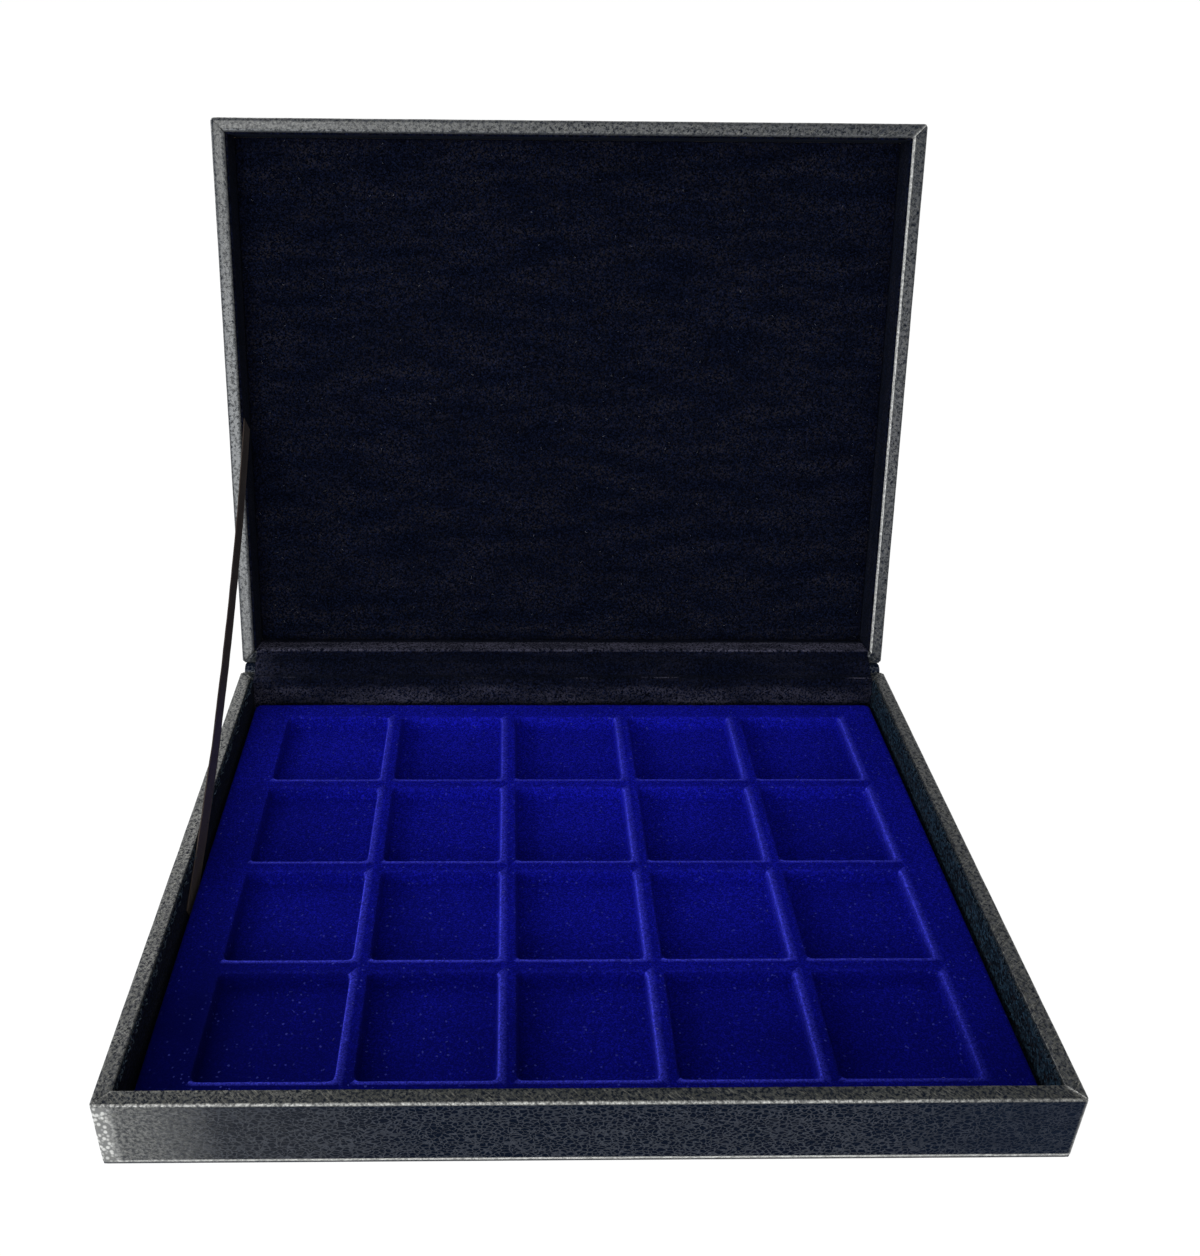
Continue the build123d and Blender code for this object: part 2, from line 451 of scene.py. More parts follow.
@dataclass(frozen=True)
class Leatherette(Finish):
    """Black leatherette: a glossy net round long dull pits with painted shade in them, finer where drawn,
    with painted highlights where folded.
    """

    name: str = "leatherette"
    pit_along: float = 2.2 * MM
    pit_across: float = 1.5 * MM
    grain_depth: float = 0.3 * MM
    # pit colour is painted shade in the grain's recesses; the net colour round them is painted lighter, as
    # lit ridges
    pit_shade: Colour = (0.001, 0.0034, 0.0105)
    net: Colour = (0.0065, 0.014, 0.032)
    drawn: Colour = (0.024, 0.026, 0.022)
    scratch: Colour = (0.2, 0.195, 0.17)
    # painted highlight colour, near white, laid on through the painted highlight layer
    worn: Colour = (0.74, 0.72, 0.68)
    roughness: float = 0.42
    gloss: float = 0.8
    broad: Point = (12 * MM, 8 * MM)
    mottle: Point = (1.3 * MM, 1.3 * MM)
    speckle: Point = (1.9 * MM, 1.9 * MM)
    # size of the patches that break up the painted highlight
    highlight_patches: Point = (1.5 * MM, 1.1 * MM)
    # size of the painted highlight dots round the front's left corner
    dot: Point = (1.5 * MM, 1.9 * MM)
    scratch_slant: float = 0.16
    calm_grain: float = 0.4

    def material(self) -> Material:
        """Makes the grain from the borders of stretched cells, bent by noise.

        Returns:
            The finished material.
        """
        graph = ShaderGraph(self.name)
        drawn, edge, polish = (graph.attribute(name) for name in (DRAWN, PAINTED_HIGHLIGHT, POLISH))
        flat = graph.wrap(self.pit_along, self.pit_across)
        bend = graph.out("ShaderNodeTexNoise", "Color", inputs={"Vector": flat, "Scale": 0.5, "Detail": 3.0})
        flat = graph.vector("ADD", flat, graph.scaled(bend, 2.0))
        cells = {"Vector": flat, "Scale": 1.0}
        border = graph.out("ShaderNodeTexVoronoi", "Distance", {"feature": "DISTANCE_TO_EDGE"}, cells)
        fine = graph.noise(flat, 3.0, 3.0, 0.75).smooth(0.32, 0.68)
        broad = graph.patches(self.broad).smooth(0.25, 0.75)
        mottle = graph.patches(self.mottle, 2.0, 0.7).smooth(0.38, 0.62)
        speckle = graph.patches(self.speckle, 2.0, 0.75).smooth(0.44, 0.58)
        net = 1.0 - (border + 0.12 * (broad - 0.5)).smooth(0.02, 0.17)
        grain = net * (0.6 + 0.4 * fine) * (1.0 - 0.8 * drawn) + mottle * drawn * 0.7
        # calm: where polish is below 0; it evens the grain, lowers the coat and brings in the painted
        # highlight dots
        calm = (0.0 - polish).at_least(0.0)
        grain = grain + calm * (self.calm_grain - grain)
        along, across, _ = graph.split(graph.wrap(MM, MM))
        slant = graph.join(along + across, (along - across) * self.scratch_slant, 0.0)
        scratches = graph.noise(slant, 1.0, 3.0, 0.6).smooth(0.55, 0.68) * drawn
        height = grain * 0.8 + fine * 0.2 + broad * 0.6 + scratches * 0.6
        # how strongly the painted highlight shows, in patches, weaker on drawn rims
        highlight_share = 0.5 + 0.5 * graph.patches(self.highlight_patches, 3.0, 0.7).smooth(0.36, 0.62)
        highlight_share = highlight_share * (1.0 - 0.7 * drawn * (1.0 - mottle))
        # painted highlight dots, which take over where the grain is calmed, as round the front's left corner
        spot = {"Vector": graph.wrap(*self.dot), "Scale": 1.0}
        glint_dots = 1.0 - graph.out("ShaderNodeTexVoronoi", "Distance", {"feature": "F1"}, spot).smooth(0.25, 0.6)
        highlight_share = highlight_share + calm * (0.3 + 0.7 * glint_dots - highlight_share)
        # pits to net: painted shade in the pits, painted light on the net
        colour = graph.mix(grain * (0.55 + 0.6 * broad), self.pit_shade, self.net)
        # drawn tone: the rims' own smoother grain, and painted reflection on the front's left end
        colour = graph.mix(drawn * (0.1 + 0.9 * mottle).at_most(1.0), colour, self.drawn)
        colour = graph.mix(scratches * 0.6, colour, self.scratch)
        # painted highlight and painted reflection laid over the colour
        colour = graph.mix((edge * highlight_share).at_most(1.0), colour, self.worn)
        roughness = self.roughness + 0.2 * (1.0 - grain) - 0.06 * edge
        coat = ((1.3 * grain - 0.13) * (0.5 + 0.6 * broad) + 0.15 * drawn) * self.gloss
        coat = coat + polish.at_least(0.0) * (0.05 + 1.2 * speckle) - 0.2 * calm
        return graph.finish(
            colour, roughness, graph.bump(height, self.grain_depth), Specular_IOR_Level=0.02,
            Coat_Weight=coat.at_least(0.0).at_most(1.0), Coat_Roughness=0.3,
        )


@dataclass(frozen=True)
class DustBand:
    """Lint gathered between two distances along the cloth; least is what lies there without drift."""

    start: float
    end: float
    share: float
    least: float = 0.35


@dataclass(frozen=True)
class Velvet(Finish):
    """Black velvet with a speckled nap and lint that gathers in bands along the cloth."""

    name: str = "velvet"
    deep: Colour = (0.0003, 0.0006, 0.002)
    lit: Colour = (0.0085, 0.0125, 0.038)
    dust: Colour = (0.15, 0.13, 0.15)
    dust_share: float = 0.1
    grain: float = 1.9
    sparse: float = 0.45
    bands: tuple[DustBand, ...] = ()
    left_end: float = 0.0
    left_fade: float = 12 * MM
    left_dust: float = 0.0
    brushing: Point = (38 * MM, 30 * MM)
    drift: Point = (34 * MM, 9 * MM)
    speck: float = 1.5
    pile: float = 0.3 * MM

    def material(self) -> Material:
        """Makes the nap from fine noise, its brushing from broad noise and its lint from specks.

        Returns:
            The finished material.
        """
        graph = ShaderGraph(self.name)
        flat = graph.wrap(MM, MM)
        grains = graph.grains(flat, self.grain)
        nap = grains * grains * (0.35 + graph.noise(flat, 0.7, 3.0, 0.8).smooth(0.35, 0.7))
        lightness = graph.patches(self.brushing)
        drift = graph.patches(self.drift).smooth(0.3, 0.75)
        specks = graph.grains(flat, self.speck).smooth(self.sparse, 1.0)
        colour = graph.mix(nap * (0.6 + 0.5 * lightness), self.deep, self.lit)
        across, along, _ = graph.split(graph.wrap())
        gathered = drift * self.dust_share
        if self.left_dust:
            inward = across.ramp(self.left_end, self.left_end + self.left_fade)
            gathered = gathered + (1.0 - inward) * self.left_dust
        for band in self.bands:
            middle, reach = (band.start + band.end) / 2, (band.end - band.start) / 2
            near = 1.0 - (along - middle).abs().smooth(reach * 0.7, reach * 1.2)
            gathered = gathered + near * (band.least + 0.9 * drift).at_least(0.0) * band.share
        colour = graph.mix((specks * gathered).at_most(1.0), colour, self.dust)
        return graph.finish(
            colour, 0.95, graph.bump(nap + 0.8 * lightness, self.pile), Specular_IOR_Level=0.02,
            Sheen_Weight=0.012, Sheen_Roughness=0.5, Sheen_Tint=(0.6, 0.75, 1.0, 1.0),
        )


@dataclass(frozen=True)
class Flock(Finish):
    """Royal blue flock with painted highlights on its lips, painted light rising towards the back and the
    middle, and painted shade at its left.
    """

    name: str = "flock"
    deep: Colour = (0.0008, 0.0014, 0.06)
    lit: Colour = (0.012, 0.014, 0.62)
    # painted highlight colour for the pocket lips
    lip: Colour = (0.08, 0.09, 1.0)
    fleck: Colour = (0.12, 0.14, 0.8)
    # painted light brighter towards the back and the middle, painted shade at the left side
    front: float = -130 * MM
    reach: float = 260 * MM
    # painted highlights on the lips fade towards the front right
    lip_fade: Point = (0.06, 0.14)
    left_shade: Point = (-0.14, -0.05)
    side_fade: Point = (0.04, 0.14)
    speck: float = 1.5
    pile: float = 0.3 * MM

    def material(self) -> Material:
        """Makes the fibres from fine noise and the flecks from sparse specks.

        Returns:
            The finished material.
        """
        graph = ShaderGraph(self.name)
        place = graph.scaled(graph.place(), 1.0 / MM)
        grains = graph.grains(place, 2.1)
        clumps = graph.noise(place, 0.9, 3.0, 0.8).smooth(0.3, 0.7)
        fibres = (0.2 + 0.8 * grains * grains) * (0.7 + 0.6 * clumps)
        drift = graph.noise(place, 0.02, 3.0)
        flecks = graph.grains(place, self.speck).smooth(0.985, 1.0)
        aside, back, _ = graph.split(graph.place())
        forward = 1.0 - back.ramp(self.front, self.front + 0.5 * self.reach)
        # painted highlight on the lips, fainter towards the front right
        lip = graph.attribute(PAINTED_HIGHLIGHT) * (0.8 - 0.55 * forward * aside.ramp(*self.lip_fade))
        # painted light rising towards the back, over random drift
        lightness = 0.68 * drift - 0.15 + 0.8 * back.ramp(self.front, self.front + self.reach)
        # painted shade at the left
        lightness = lightness - 0.12 * (1.0 - aside.ramp(*self.left_shade))
        # painted light in the middle
        lightness = (lightness + 0.14 * (1.0 - aside.abs().ramp(*self.side_fade)) - 0.04).at_least(0.0)
        colour = graph.mix((fibres * lightness).at_most(1.0), self.deep, self.lit)
        colour = graph.mix(lip * (0.2 + 0.8 * grains), colour, self.lip)
        colour = graph.mix(flecks * 0.3, colour, self.fleck)
        return graph.finish(
            colour, 0.95, graph.bump(fibres, self.pile), Specular_IOR_Level=0.02,
            Sheen_Weight=0.08, Sheen_Roughness=0.5, Sheen_Tint=(0.05, 0.06, 1.0, 1.0),
        )


@dataclass(frozen=True)
class Satin(Finish):
    """Dark satin ribbon with fine cross ribs and paler woven edges."""

    name: str = "satin"
    width: float = 13 * MM
    selvedge: float = 1.2 * MM
    rib: float = 0.45 * MM
    body: Colour = (0.018, 0.0115, 0.009)
    edge: Colour = (0.1, 0.072, 0.056)
    slub: Point = (6 * MM, 14 * MM)
    weave: float = 0.06 * MM

    def material(self) -> Material:
        """Makes the ribs and the edges from the ribbon's own length and width.

        Returns:
            The finished material.
        """
        graph = ShaderGraph(self.name)
        across, along, _ = graph.split(graph.wrap())
        ribs = ((along * (math.tau / self.rib)).sin() + 1.0) * 0.5
        edge = across.abs().smooth(self.width / 2 - self.selvedge, self.width / 2 - self.selvedge / 2)
        uneven = graph.patches(self.slub)
        colour = graph.mix(edge * (0.4 + 0.6 * ribs), self.body, self.edge)
        colour = graph.mix(uneven * 0.4, colour, self.edge)
        roughness = 0.34 + 0.18 * ribs + 0.15 * edge
        return graph.finish(
            colour, roughness, graph.bump(ribs + uneven * 1.5, self.weave), Specular_IOR_Level=0.15,
            Sheen_Weight=0.05, Sheen_Roughness=0.4,
        )


@dataclass(frozen=True)
class FibreBoard(Finish):
    """Pressed board or card: a mat of short fibres in two tones."""

    name: str = "wood_fibre"
    dark: Colour = (0.2, 0.13, 0.075)
    pale: Colour = (0.42, 0.31, 0.2)
    fibre: float = 1.2 * MM
    grain_depth: float = 0.1 * MM

    def material(self) -> Material:
        """Makes the fibres from stretched noise over the piece's place.

        Returns:
            The finished material.
        """
        graph = ShaderGraph(self.name)
        place = graph.vector("MULTIPLY", graph.place(), (1 / self.fibre, 3 / self.fibre, 3 / self.fibre))
        fibres = graph.noise(place, 1.0, 4.0, 0.7)
        colour = graph.mix(fibres.smooth(0.3, 0.7), self.dark, self.pale)
        return graph.finish(colour, 0.7 + 0.2 * fibres, graph.bump(fibres, self.grain_depth))


@dataclass(frozen=True)
class Lint(Finish):
    """Pale dust fibres."""

    name: str = "lint"
    tint: Colour = (0.5, 0.5, 0.56)

    def material(self) -> Material:
        """Makes a dull fibre whose tone drifts with its place.

        Returns:
            The finished material.
        """
        graph = ShaderGraph(self.name)
        tone = graph.noise(graph.place(), 90.0)
        return graph.finish(graph.mix(tone, tuple(0.35 * part for part in self.tint), self.tint), 0.9)


def add_object(name: str, data: bpy.types.ID) -> Piece:
    """Links a mesh, a lamp or a camera as an object at the origin.

    Args:
        name: Its name.
        data: What it shows.

    Returns:
        The new object.
    """
    made = bpy.data.objects.new(name, data)
    bpy.context.scene.collection.objects.link(made)
    return made


def report(piece: Piece) -> None:
    """Logs a piece and how many faces it has."""
    LOG.info("%s: %d faces", piece.name, len(piece.data.polygons))


@dataclass
class Patchwork:
    """Collects rows of points as quads, then welds them into one closed mesh."""

    name: str
    faces: bmesh.types.BMesh = field(default_factory=bmesh.new)
    weld: float = 0.004 * MM

    def __post_init__(self) -> None:
        """Adds the layers that the finishes read."""
        self.uv = self.faces.loops.layers.uv.new(WRAP)
        self.layers = {name: self.faces.verts.layers.float.new(name) for name in (PAINTED_HIGHLIGHT, DRAWN, POLISH)}

    def rows(
        self, points: list[list[Vector]], uvs: list[list[Point]], values: dict[str, list] | None = None
    ) -> list:
        """Adds a grid of quads.

        Args:
            points: Rows of points, all of one length.
            uvs: Place of each point on the material.
            values: Vertex values of each point by layer, if any.

        Returns:
            Rows of the new vertices.
        """
        made = [[self.faces.verts.new(point) for point in row] for row in points]
        for name, grid in (values or {}).items():
            for row, line in zip(made, grid):
                for vertex, value in zip(row, line):
                    vertex[self.layers[name]] = value
        for i in range(len(made) - 1):
            for j in range(len(made[i]) - 1):
                corners = ((i, j), (i, j + 1), (i + 1, j + 1), (i + 1, j))
                face = self.faces.faces.new([made[a][b] for a, b in corners])
                for loop, (a, b) in zip(face.loops, corners):
                    loop[self.uv].uv = uvs[a][b]
        return made

    def cap(self, ring: list) -> None:
        """Closes a ring of vertices with one face."""
        self.faces.faces.new(ring)

    def close(self, face: list[list], back: list[list]) -> None:
        """Closes the border between two grids of one shape with a band of quads.

        Args:
            face: Vertices of the first grid.
            back: Vertices of the second.
        """
        border = [(face[0], back[0]), (face[-1], back[-1])]
        border += [([row[end] for row in face], [row[end] for row in back]) for end in (0, -1)]
        for near, far in border:
            for index in range(len(near) - 1):
                self.cap([near[index], near[index + 1], far[index + 1], far[index]])

    def object(self, finish: Material, place: Matrix | None = None, sharp: float = 40.0) -> Piece:
        """Welds the mesh, turns its faces outwards, finishes it and links it.

        Args:
            finish: Its material.
            place: Move or turn given to the mesh, if any.
            sharp: Angle in degrees past which an edge shows.

        Returns:
            The new object, at the origin.
        """
        bmesh.ops.remove_doubles(self.faces, verts=self.faces.verts, dist=self.weld)
        bmesh.ops.dissolve_degenerate(self.faces, edges=self.faces.edges, dist=self.weld)
        if place is not None:
            bmesh.ops.transform(self.faces, matrix=place, verts=self.faces.verts)
        bmesh.ops.recalc_face_normals(self.faces, faces=self.faces.faces)
        mesh = bpy.data.meshes.new(self.name)
        self.faces.to_mesh(mesh)
        self.faces.free()
        mesh.shade_smooth()
        mesh.set_sharp_from_angle(angle=math.radians(sharp))
        mesh.materials.append(finish)
        return add_object(self.name, mesh)


def ripple(u: float, v: float, seed: float, length: float) -> float:
    """Smooth random value from -1 to 1 that repeats nothing over the piece."""
    return noise.noise(Vector((u / length, v / length, seed)))


def clamp(value: float) -> float:
    """Keeps a value from 0 to 1."""
    return max(0.0, min(1.0, value))


def distances(path: list[Point]) -> list[float]:
    """Distance of each point of a path from its start, along the path."""
    steps = (math.dist(first, second) for first, second in zip(path, path[1:]))
    return list(accumulate(steps, initial=0.0))


def rounded(x: float, y: float, half_x: float, half_y: float, radius: float) -> Point:
    """Brings a point of a rectangle's border onto its rounded corners.

    Args:
        x: Place across.
        y: Place along.
        half_x: Half of the width.
        half_y: Half of the length.
        radius: Radius of the corners.

    Returns:
        The point moved.
    """
    held_x = max(-(half_x - radius), min(half_x - radius, x))
    held_y = max(-(half_y - radius), min(half_y - radius, y))
    out = Vector((x - held_x, y - held_y))
    if out.length > 0:
        out = out.normalized() * radius
    return held_x + out.x, held_y + out.y


@dataclass
class Plate:
    """Flat plate or shell in its own X and Y, made of rings round its middle.

    The profile gives each ring past the flat middle as (inset, height), first over the face and
    then back under it, so both halves end on the same ring.
    """

    name: str
    half_x: float
    half_y: float
    corner: float
    face: list[Point]
    back: list[Point]
    cells: int = 24
    unevenness: float = 0.0
    uneven_length: float = 40 * MM
    seed: float = 0.0
    # how much painted highlight the plate's rounded rim carries
    edge_wear: float = 0.12

    def object(self, finish: Material, place: Matrix) -> Piece:
        """Makes the plate in its finish and sets it in its place.

        Args:
            finish: Its material.
            place: Where it goes.

        Returns:
            The plate.
        """
        patch = Patchwork(self.name)
        for profile, rise in ((self.face, self.unevenness), (self.back, 0.0)):
            self._half(patch, profile, rise)
        return patch.object(finish, place)

    def _half(self, patch: Patchwork, profile: list[Point], rise: float) -> None:
        """Adds the face or the back as a square grid of rings.

        Args:
            patch: What the rings are added to.
            profile: The half's rings.
            rise: Height of its unevenness.
        """
        count = self.cells + len(profile) - 1
        span = range(-count, count + 1)
        points = [[self._point(i, j, profile, rise) for j in span] for i in span]
        uvs = [[(point.x, point.y) for point in row] for row in points]
        made = patch.rows(points, uvs)
        for i, row in enumerate(made):
            for j, vertex in enumerate(row):
                ring = max(abs(i - count), abs(j - count))
                # painted highlight on the rounded rim, where the finish reads it
                vertex[patch.layers[PAINTED_HIGHLIGHT]] = self.edge_wear if ring > self.cells else 0.0

    def _point(self, i: int, j: int, profile: list[Point], rise: float) -> Vector:
        """Place of one point of the grid.

        Args:
            i: Step across.
            j: Step along.
            profile: The half's rings.
            rise: Height of its unevenness.

        Returns:
            The point.
        """
        ring = max(abs(i), abs(j))
        inset, height = profile[max(ring - self.cells, 0)]
        share = min(ring / self.cells, 1.0)
        half_x = (self.half_x - inset) * share
        half_y = (self.half_y - inset) * share
        radius = max(self.corner - inset, 0.0) * share
        across = i / ring if ring else 0.0
        along = j / ring if ring else 0.0
        if ring >= self.cells:
            across, along = (math.sin(part * math.pi / 2) for part in (across, along))
        x, y = rounded(across * half_x, along * half_y, half_x, half_y, radius)
        height += rise * ripple(x, y, self.seed, self.uneven_length) * (1 - share**6)
        return Vector((x, y, height))


def arc(centre: Point, radius: float, start: float, end: float, steps: int) -> list[Point]:
    """Points on an arc, its angles in degrees.

    Args:
        centre: Its centre.
        radius: Its radius.
        start: Angle of its first point.
        end: Angle of its last point.
        steps: Number of its steps.

    Returns:
        Its points, both ends among them.
    """
    turns = [math.radians(start + (end - start) * step / steps) for step in range(steps + 1)]
    x, y = centre
    return [(x + radius * math.cos(turn), y + radius * math.sin(turn)) for turn in turns]


def run(start: Point, end: Point, steps: int) -> list[Point]:
    """Points on a straight run, without its two ends.

    Args:
        start: Its first end.
        end: Its last end.
        steps: Number of its steps.

    Returns:
        The points.
    """
    return [tuple(a + (b - a) * step / steps for a, b in zip(start, end)) for step in range(1, steps)]


class Fold(Enum):
    """Fold of a cover that a point of its section lies on."""

    NONE = 0
    UNDER = 1
    OUTER = 2
    INNER = 3


@dataclass(frozen=True)
class Spot:
    """A point of a cover's section."""

    inset: float
    depth: float
    fold: Fold = Fold.NONE
    crest: float = 0.0


POLISHED = {  # how far handling has polished each rim
    (Half.LID, Side.LEFT): 1.0,
    (Half.LID, Side.FRONT): 0.75,
    (Half.LID, Side.RIGHT): 0.65,
    (Half.BASE, Side.LEFT): 0.22,
    (Half.BASE, Side.RIGHT): 0.45,
}
SEAM_GLINTS = {  # painted highlight on a cover's mitre, how bright at its left end (-1) and right end (1)
    (Half.LID, Side.FRONT, 1): 1.0,
    (Half.BASE, Side.FRONT, 1): 1.0,
    (Half.BASE, Side.FRONT, -1): 0.5,
}


@dataclass
class WrappedRim:
    """Leatherette covers of one half: each wraps a wall strip and meets its neighbours at a mitre."""

    case: Case
    half: Half
    finish: Material
    rim_outer: float = 1.0 * MM
    rim_inner: float = 0.6 * MM
    lid_inner: float = 1.1 * MM
    turn_in: float = 9.0 * MM
    fold_radius: float = 0.8 * MM
    turn_under: float = 12.0 * MM
    back_drop: float = 1.2 * MM
    drop_margin: float = 0.05 * MM
    lid_edge: float = 1.5 * MM
    seam_depth: float = 0.28 * MM
    seam_width: float = 0.7 * MM
    # how far the painted highlight along a mitre reaches
    seam_glint: float = 1.3 * MM
    overlap: float = 0.12 * MM
    ripple_height: float = 0.07 * MM
    ripple_length: float = 14.0 * MM
    grain_shift: float = 11.0 * MM
    # heights low on the base's walls that carry the bottom fold's painted highlight
    pale_rise: tuple[float, float] = (0.5 * MM, 0.9 * MM)
    # reach of the front's drawn left end, whose paleness is painted reflection
    drawn_end: float = 48.0 * MM
    # width of the front's left corner strip with painted highlight dots, and its fade
    rubbed_corner: float = 5.6 * MM
    corner_fade: float = 1.2 * MM
    # how bright the painted highlights on the folds are
    lid_fold_shine: float = 0.1
    side_fold_shine: float = 0.15
    inner_fold_shine: float = 0.04
    lid_drawn: float = 0.6
    # painted highlight on the lid's right inner fold, painted reflection on its left and front rims
    right_shine: float = 2.5
    left_rub: Point = (0.12, 0.16)
    front_rub: float = 0.36
    # painted reflection on the front's left end, and painted highlight dots on its corner
    rubbed_end: float = 0.24
    rubbed_at_corner: float = 0.9
    drawn_fade: float = 0.75
    faint_drawn: float = 0.25
    faint_reach: float = 2.2
    front_drawn: float = 0.8
    # the front's dull right end, where the painted highlight on its top fold fades
    dull_from: float = 0.5
    dull_over: float = 0.35
    dull_end: float = 0.6
    shade: float = 0.4
    corner_steps: int = 3
    spacing: float = 3.5 * MM
    seam_stations: tuple[float, ...] = (0.12 * MM, 0.3 * MM, 0.55 * MM, 0.9 * MM, 1.6 * MM, 2.6 * MM)

    def section(self) -> tuple[list[Spot], int]:
        """Closed section of a cover, with how many of its points lie on the outer face.

        Returns:
            The points and that number.
        """
        case = self.case
        wide, thin = case.rim, case.cover
        low = case.base_height - case.sheet if self.half is Half.BASE else case.lid_height - self.lid_edge
        outer: list[Spot] = []

        def add(points: list[Point], fold: Fold = Fold.NONE) -> None:
            """Adds points of the outer face, each with a crest that sets its painted highlight, highest at
            the middle of a fold or low on the wall.

            Args:
                points: The points.
                fold: The fold that they are on.
            """
            last = max(len(points) - 1, 1)
            for index, (inset, depth) in enumerate(points):
                crest = 0.0 if fold is Fold.NONE else math.sin(math.pi * index / last)
                if fold is Fold.UNDER:
                    crest = index / last if len(points) > 2 else 1.0 - index
                outer.append(Spot(inset, depth, fold, crest))

        if self.half is Half.BASE:
            fold = self.fold_radius
            add([(self.turn_under, low)])
            add(run((self.turn_under, low), (fold, low), 3))
            add(arc((fold, low - fold), fold, 90, 180, 6), Fold.UNDER)
            rise = [(0, low - fold - height) for height in self.pale_rise]
            add(rise, Fold.UNDER)
            add(run(rise[-1], (0, self.rim_outer), 12))
        else:
            add([(0, low)])
            add(run((0, low), (0, self.rim_outer), 9))
        add(arc((self.rim_outer, self.rim_outer), self.rim_outer, 180, 270, 6), Fold.OUTER)
        inside = self.rim_inner if self.half is Half.BASE else self.lid_inner
        add(run((self.rim_outer, 0), (wide - inside, 0), 5))
        add(arc((wide - inside, inside), inside, 270, 360, 6), Fold.INNER)
        add(run((wide, inside), (wide, self.turn_in), 4))
        add([(wide, self.turn_in)])
        inner = [(wide - thin, self.turn_in), (wide - thin, thin), (thin, thin)]
        if self.half is Half.BASE:
            inner += [(thin, low - thin), (self.turn_under, low - thin)]
        else:
            inner += [(thin, low)]
        return outer + [Spot(*point) for point in inner], len(outer)

    def values(self, spot: Spot, side: Side, x: float, along: float) -> dict[str, float]:
        """Vertex values of one point: its painted highlight and painted reflection, its drawn grain and its
        polish.

        Args:
            spot: The point of the section.
            side: Side whose cover it is.
            x: Its place along the wall.
            along: Half of the wall's outer length.

        Returns:
            Its value in each layer.
        """
        on_rim = spot.depth < self.rim_outer
        if self.half is Half.BASE and side is Side.FRONT:
            return self._front_values(spot, x, along, on_rim)
        polish = POLISHED.get((self.half, side), 0.0) * on_rim
        if self.half is Half.LID:
            shine = self._lid_shine(spot, side, x / along, on_rim)
            return {PAINTED_HIGHLIGHT: shine, DRAWN: self.lid_drawn * on_rim, POLISH: polish}
        # painted highlight along the folds of the base's side and back covers
        folds = {Fold.UNDER: 1.0, Fold.OUTER: self.side_fold_shine, Fold.INNER: self.inner_fold_shine}
        shine = spot.crest**1.5 * folds.get(spot.fold, 0.0)
        # painted highlight on the back's top fold near its corners
        if side is Side.BACK and spot.fold is Fold.OUTER and along - abs(x) < self.case.rim:
            shine = spot.crest
        return {PAINTED_HIGHLIGHT: shine, DRAWN: float(on_rim), POLISH: polish}

    def _lid_shine(self, spot: Spot, side: Side, place: float, on_rim: bool) -> float:
        """How much painted light a point of the lid's rim carries: painted reflection on the left and front
        rims, a painted highlight on the right fold.

        Args:
            spot: The point of the section.
            side: Side whose cover it is.
            place: Its place along the wall, from -1 to 1.
            on_rim: Whether it lies on the rim.

        Returns:
            Its value in the layer of painted highlights.
        """
        if side is Side.RIGHT and spot.fold is Fold.INNER:
            return min(1.0, self.right_shine * spot.crest)
        # painted reflection on the flat of the left and front rims
        middle, ends = self.left_rub
        places = {Side.LEFT: middle + ends * abs(place), Side.FRONT: self.front_rub * max(0.0, -place)}
        painted_light = places.get(side, 0.0)
        flat = on_rim and spot.fold is Fold.NONE
        return max(self.lid_fold_shine * spot.crest, painted_light if flat else 0.0)

    def _front_values(self, spot: Spot, x: float, along: float, on_rim: bool) -> dict[str, float]:
        """Vertex values on the base's front: drawn and pale with painted reflection at its left end, painted
        highlight dots on its left corner, painted shade under its top fold, dull at its right end.

        Args:
            spot: The point of the section.
            x: Its place along the wall.
            along: Half of the wall's outer length.
            on_rim: Whether it lies on the rim.

        Returns:
            Its value in each layer.
        """
        folds = {Fold.UNDER: 1.0, Fold.OUTER: 1.0, Fold.INNER: self.inner_fold_shine}
        shine = spot.crest**1.5 * folds.get(spot.fold, 0.0)
        gap = along + x
        far = clamp((x / along - self.dull_from) / self.dull_over)
        # painted highlight on the top fold, fainter towards the dull right end
        if spot.fold is Fold.OUTER:
            shine *= 1.0 - self.dull_end * far
        # the drawn left end, pale with painted reflection
        end = clamp((self.drawn_end - gap) / (self.drawn_fade * self.drawn_end))
        end = max(end, self.faint_drawn * (1.0 - gap / (self.faint_reach * self.drawn_end)))
        # the strip round the left corner, with painted highlight dots
        corner = clamp((self.rubbed_corner - gap) / self.corner_fade)
        shade = self.shade if self.rim_outer <= spot.depth < 2 * self.rim_outer else 0.0
        if on_rim:
            return {PAINTED_HIGHLIGHT: shine, DRAWN: 1.0, POLISH: 0.0}
        # painted reflection over the left end, painted highlight dots on the corner
        painted_light = self.rubbed_end * end * (1.0 - corner) + self.rubbed_at_corner * corner
        # below 0: dull at the corner and the right end, painted shade under the top fold
        dull = max(corner, shade * (1.0 - end), self.dull_end * far)
        return {PAINTED_HIGHLIGHT: max(shine, painted_light), DRAWN: self.front_drawn * end, POLISH: -dull}

    def stations(self, along: float) -> list[tuple[float, float]]:
        """Places along a wall.

        Args:
            along: Half of the wall's outer length.

        Returns:
            For each place its share of the straight stretch and its angle round the corner.
        """
        shares = [1 - gap / along for gap in (*self.seam_stations, self.case.rim)]
        inner = shares[-1]
        count = int(along * inner / self.spacing)
        shares += [inner * step / count for step in range(count - 1, 0, -1)]
        steps = self.corner_steps
        turns = [math.radians(45 * (1 - step / steps)) for step in range(steps + 1)]
        right = [(1.0, turn) for turn in turns] + [(share, 0.0) for share in shares]
        left = [(-share, -turn) for share, turn in reversed(right)]
        return right + [(0.0, 0.0)] + left

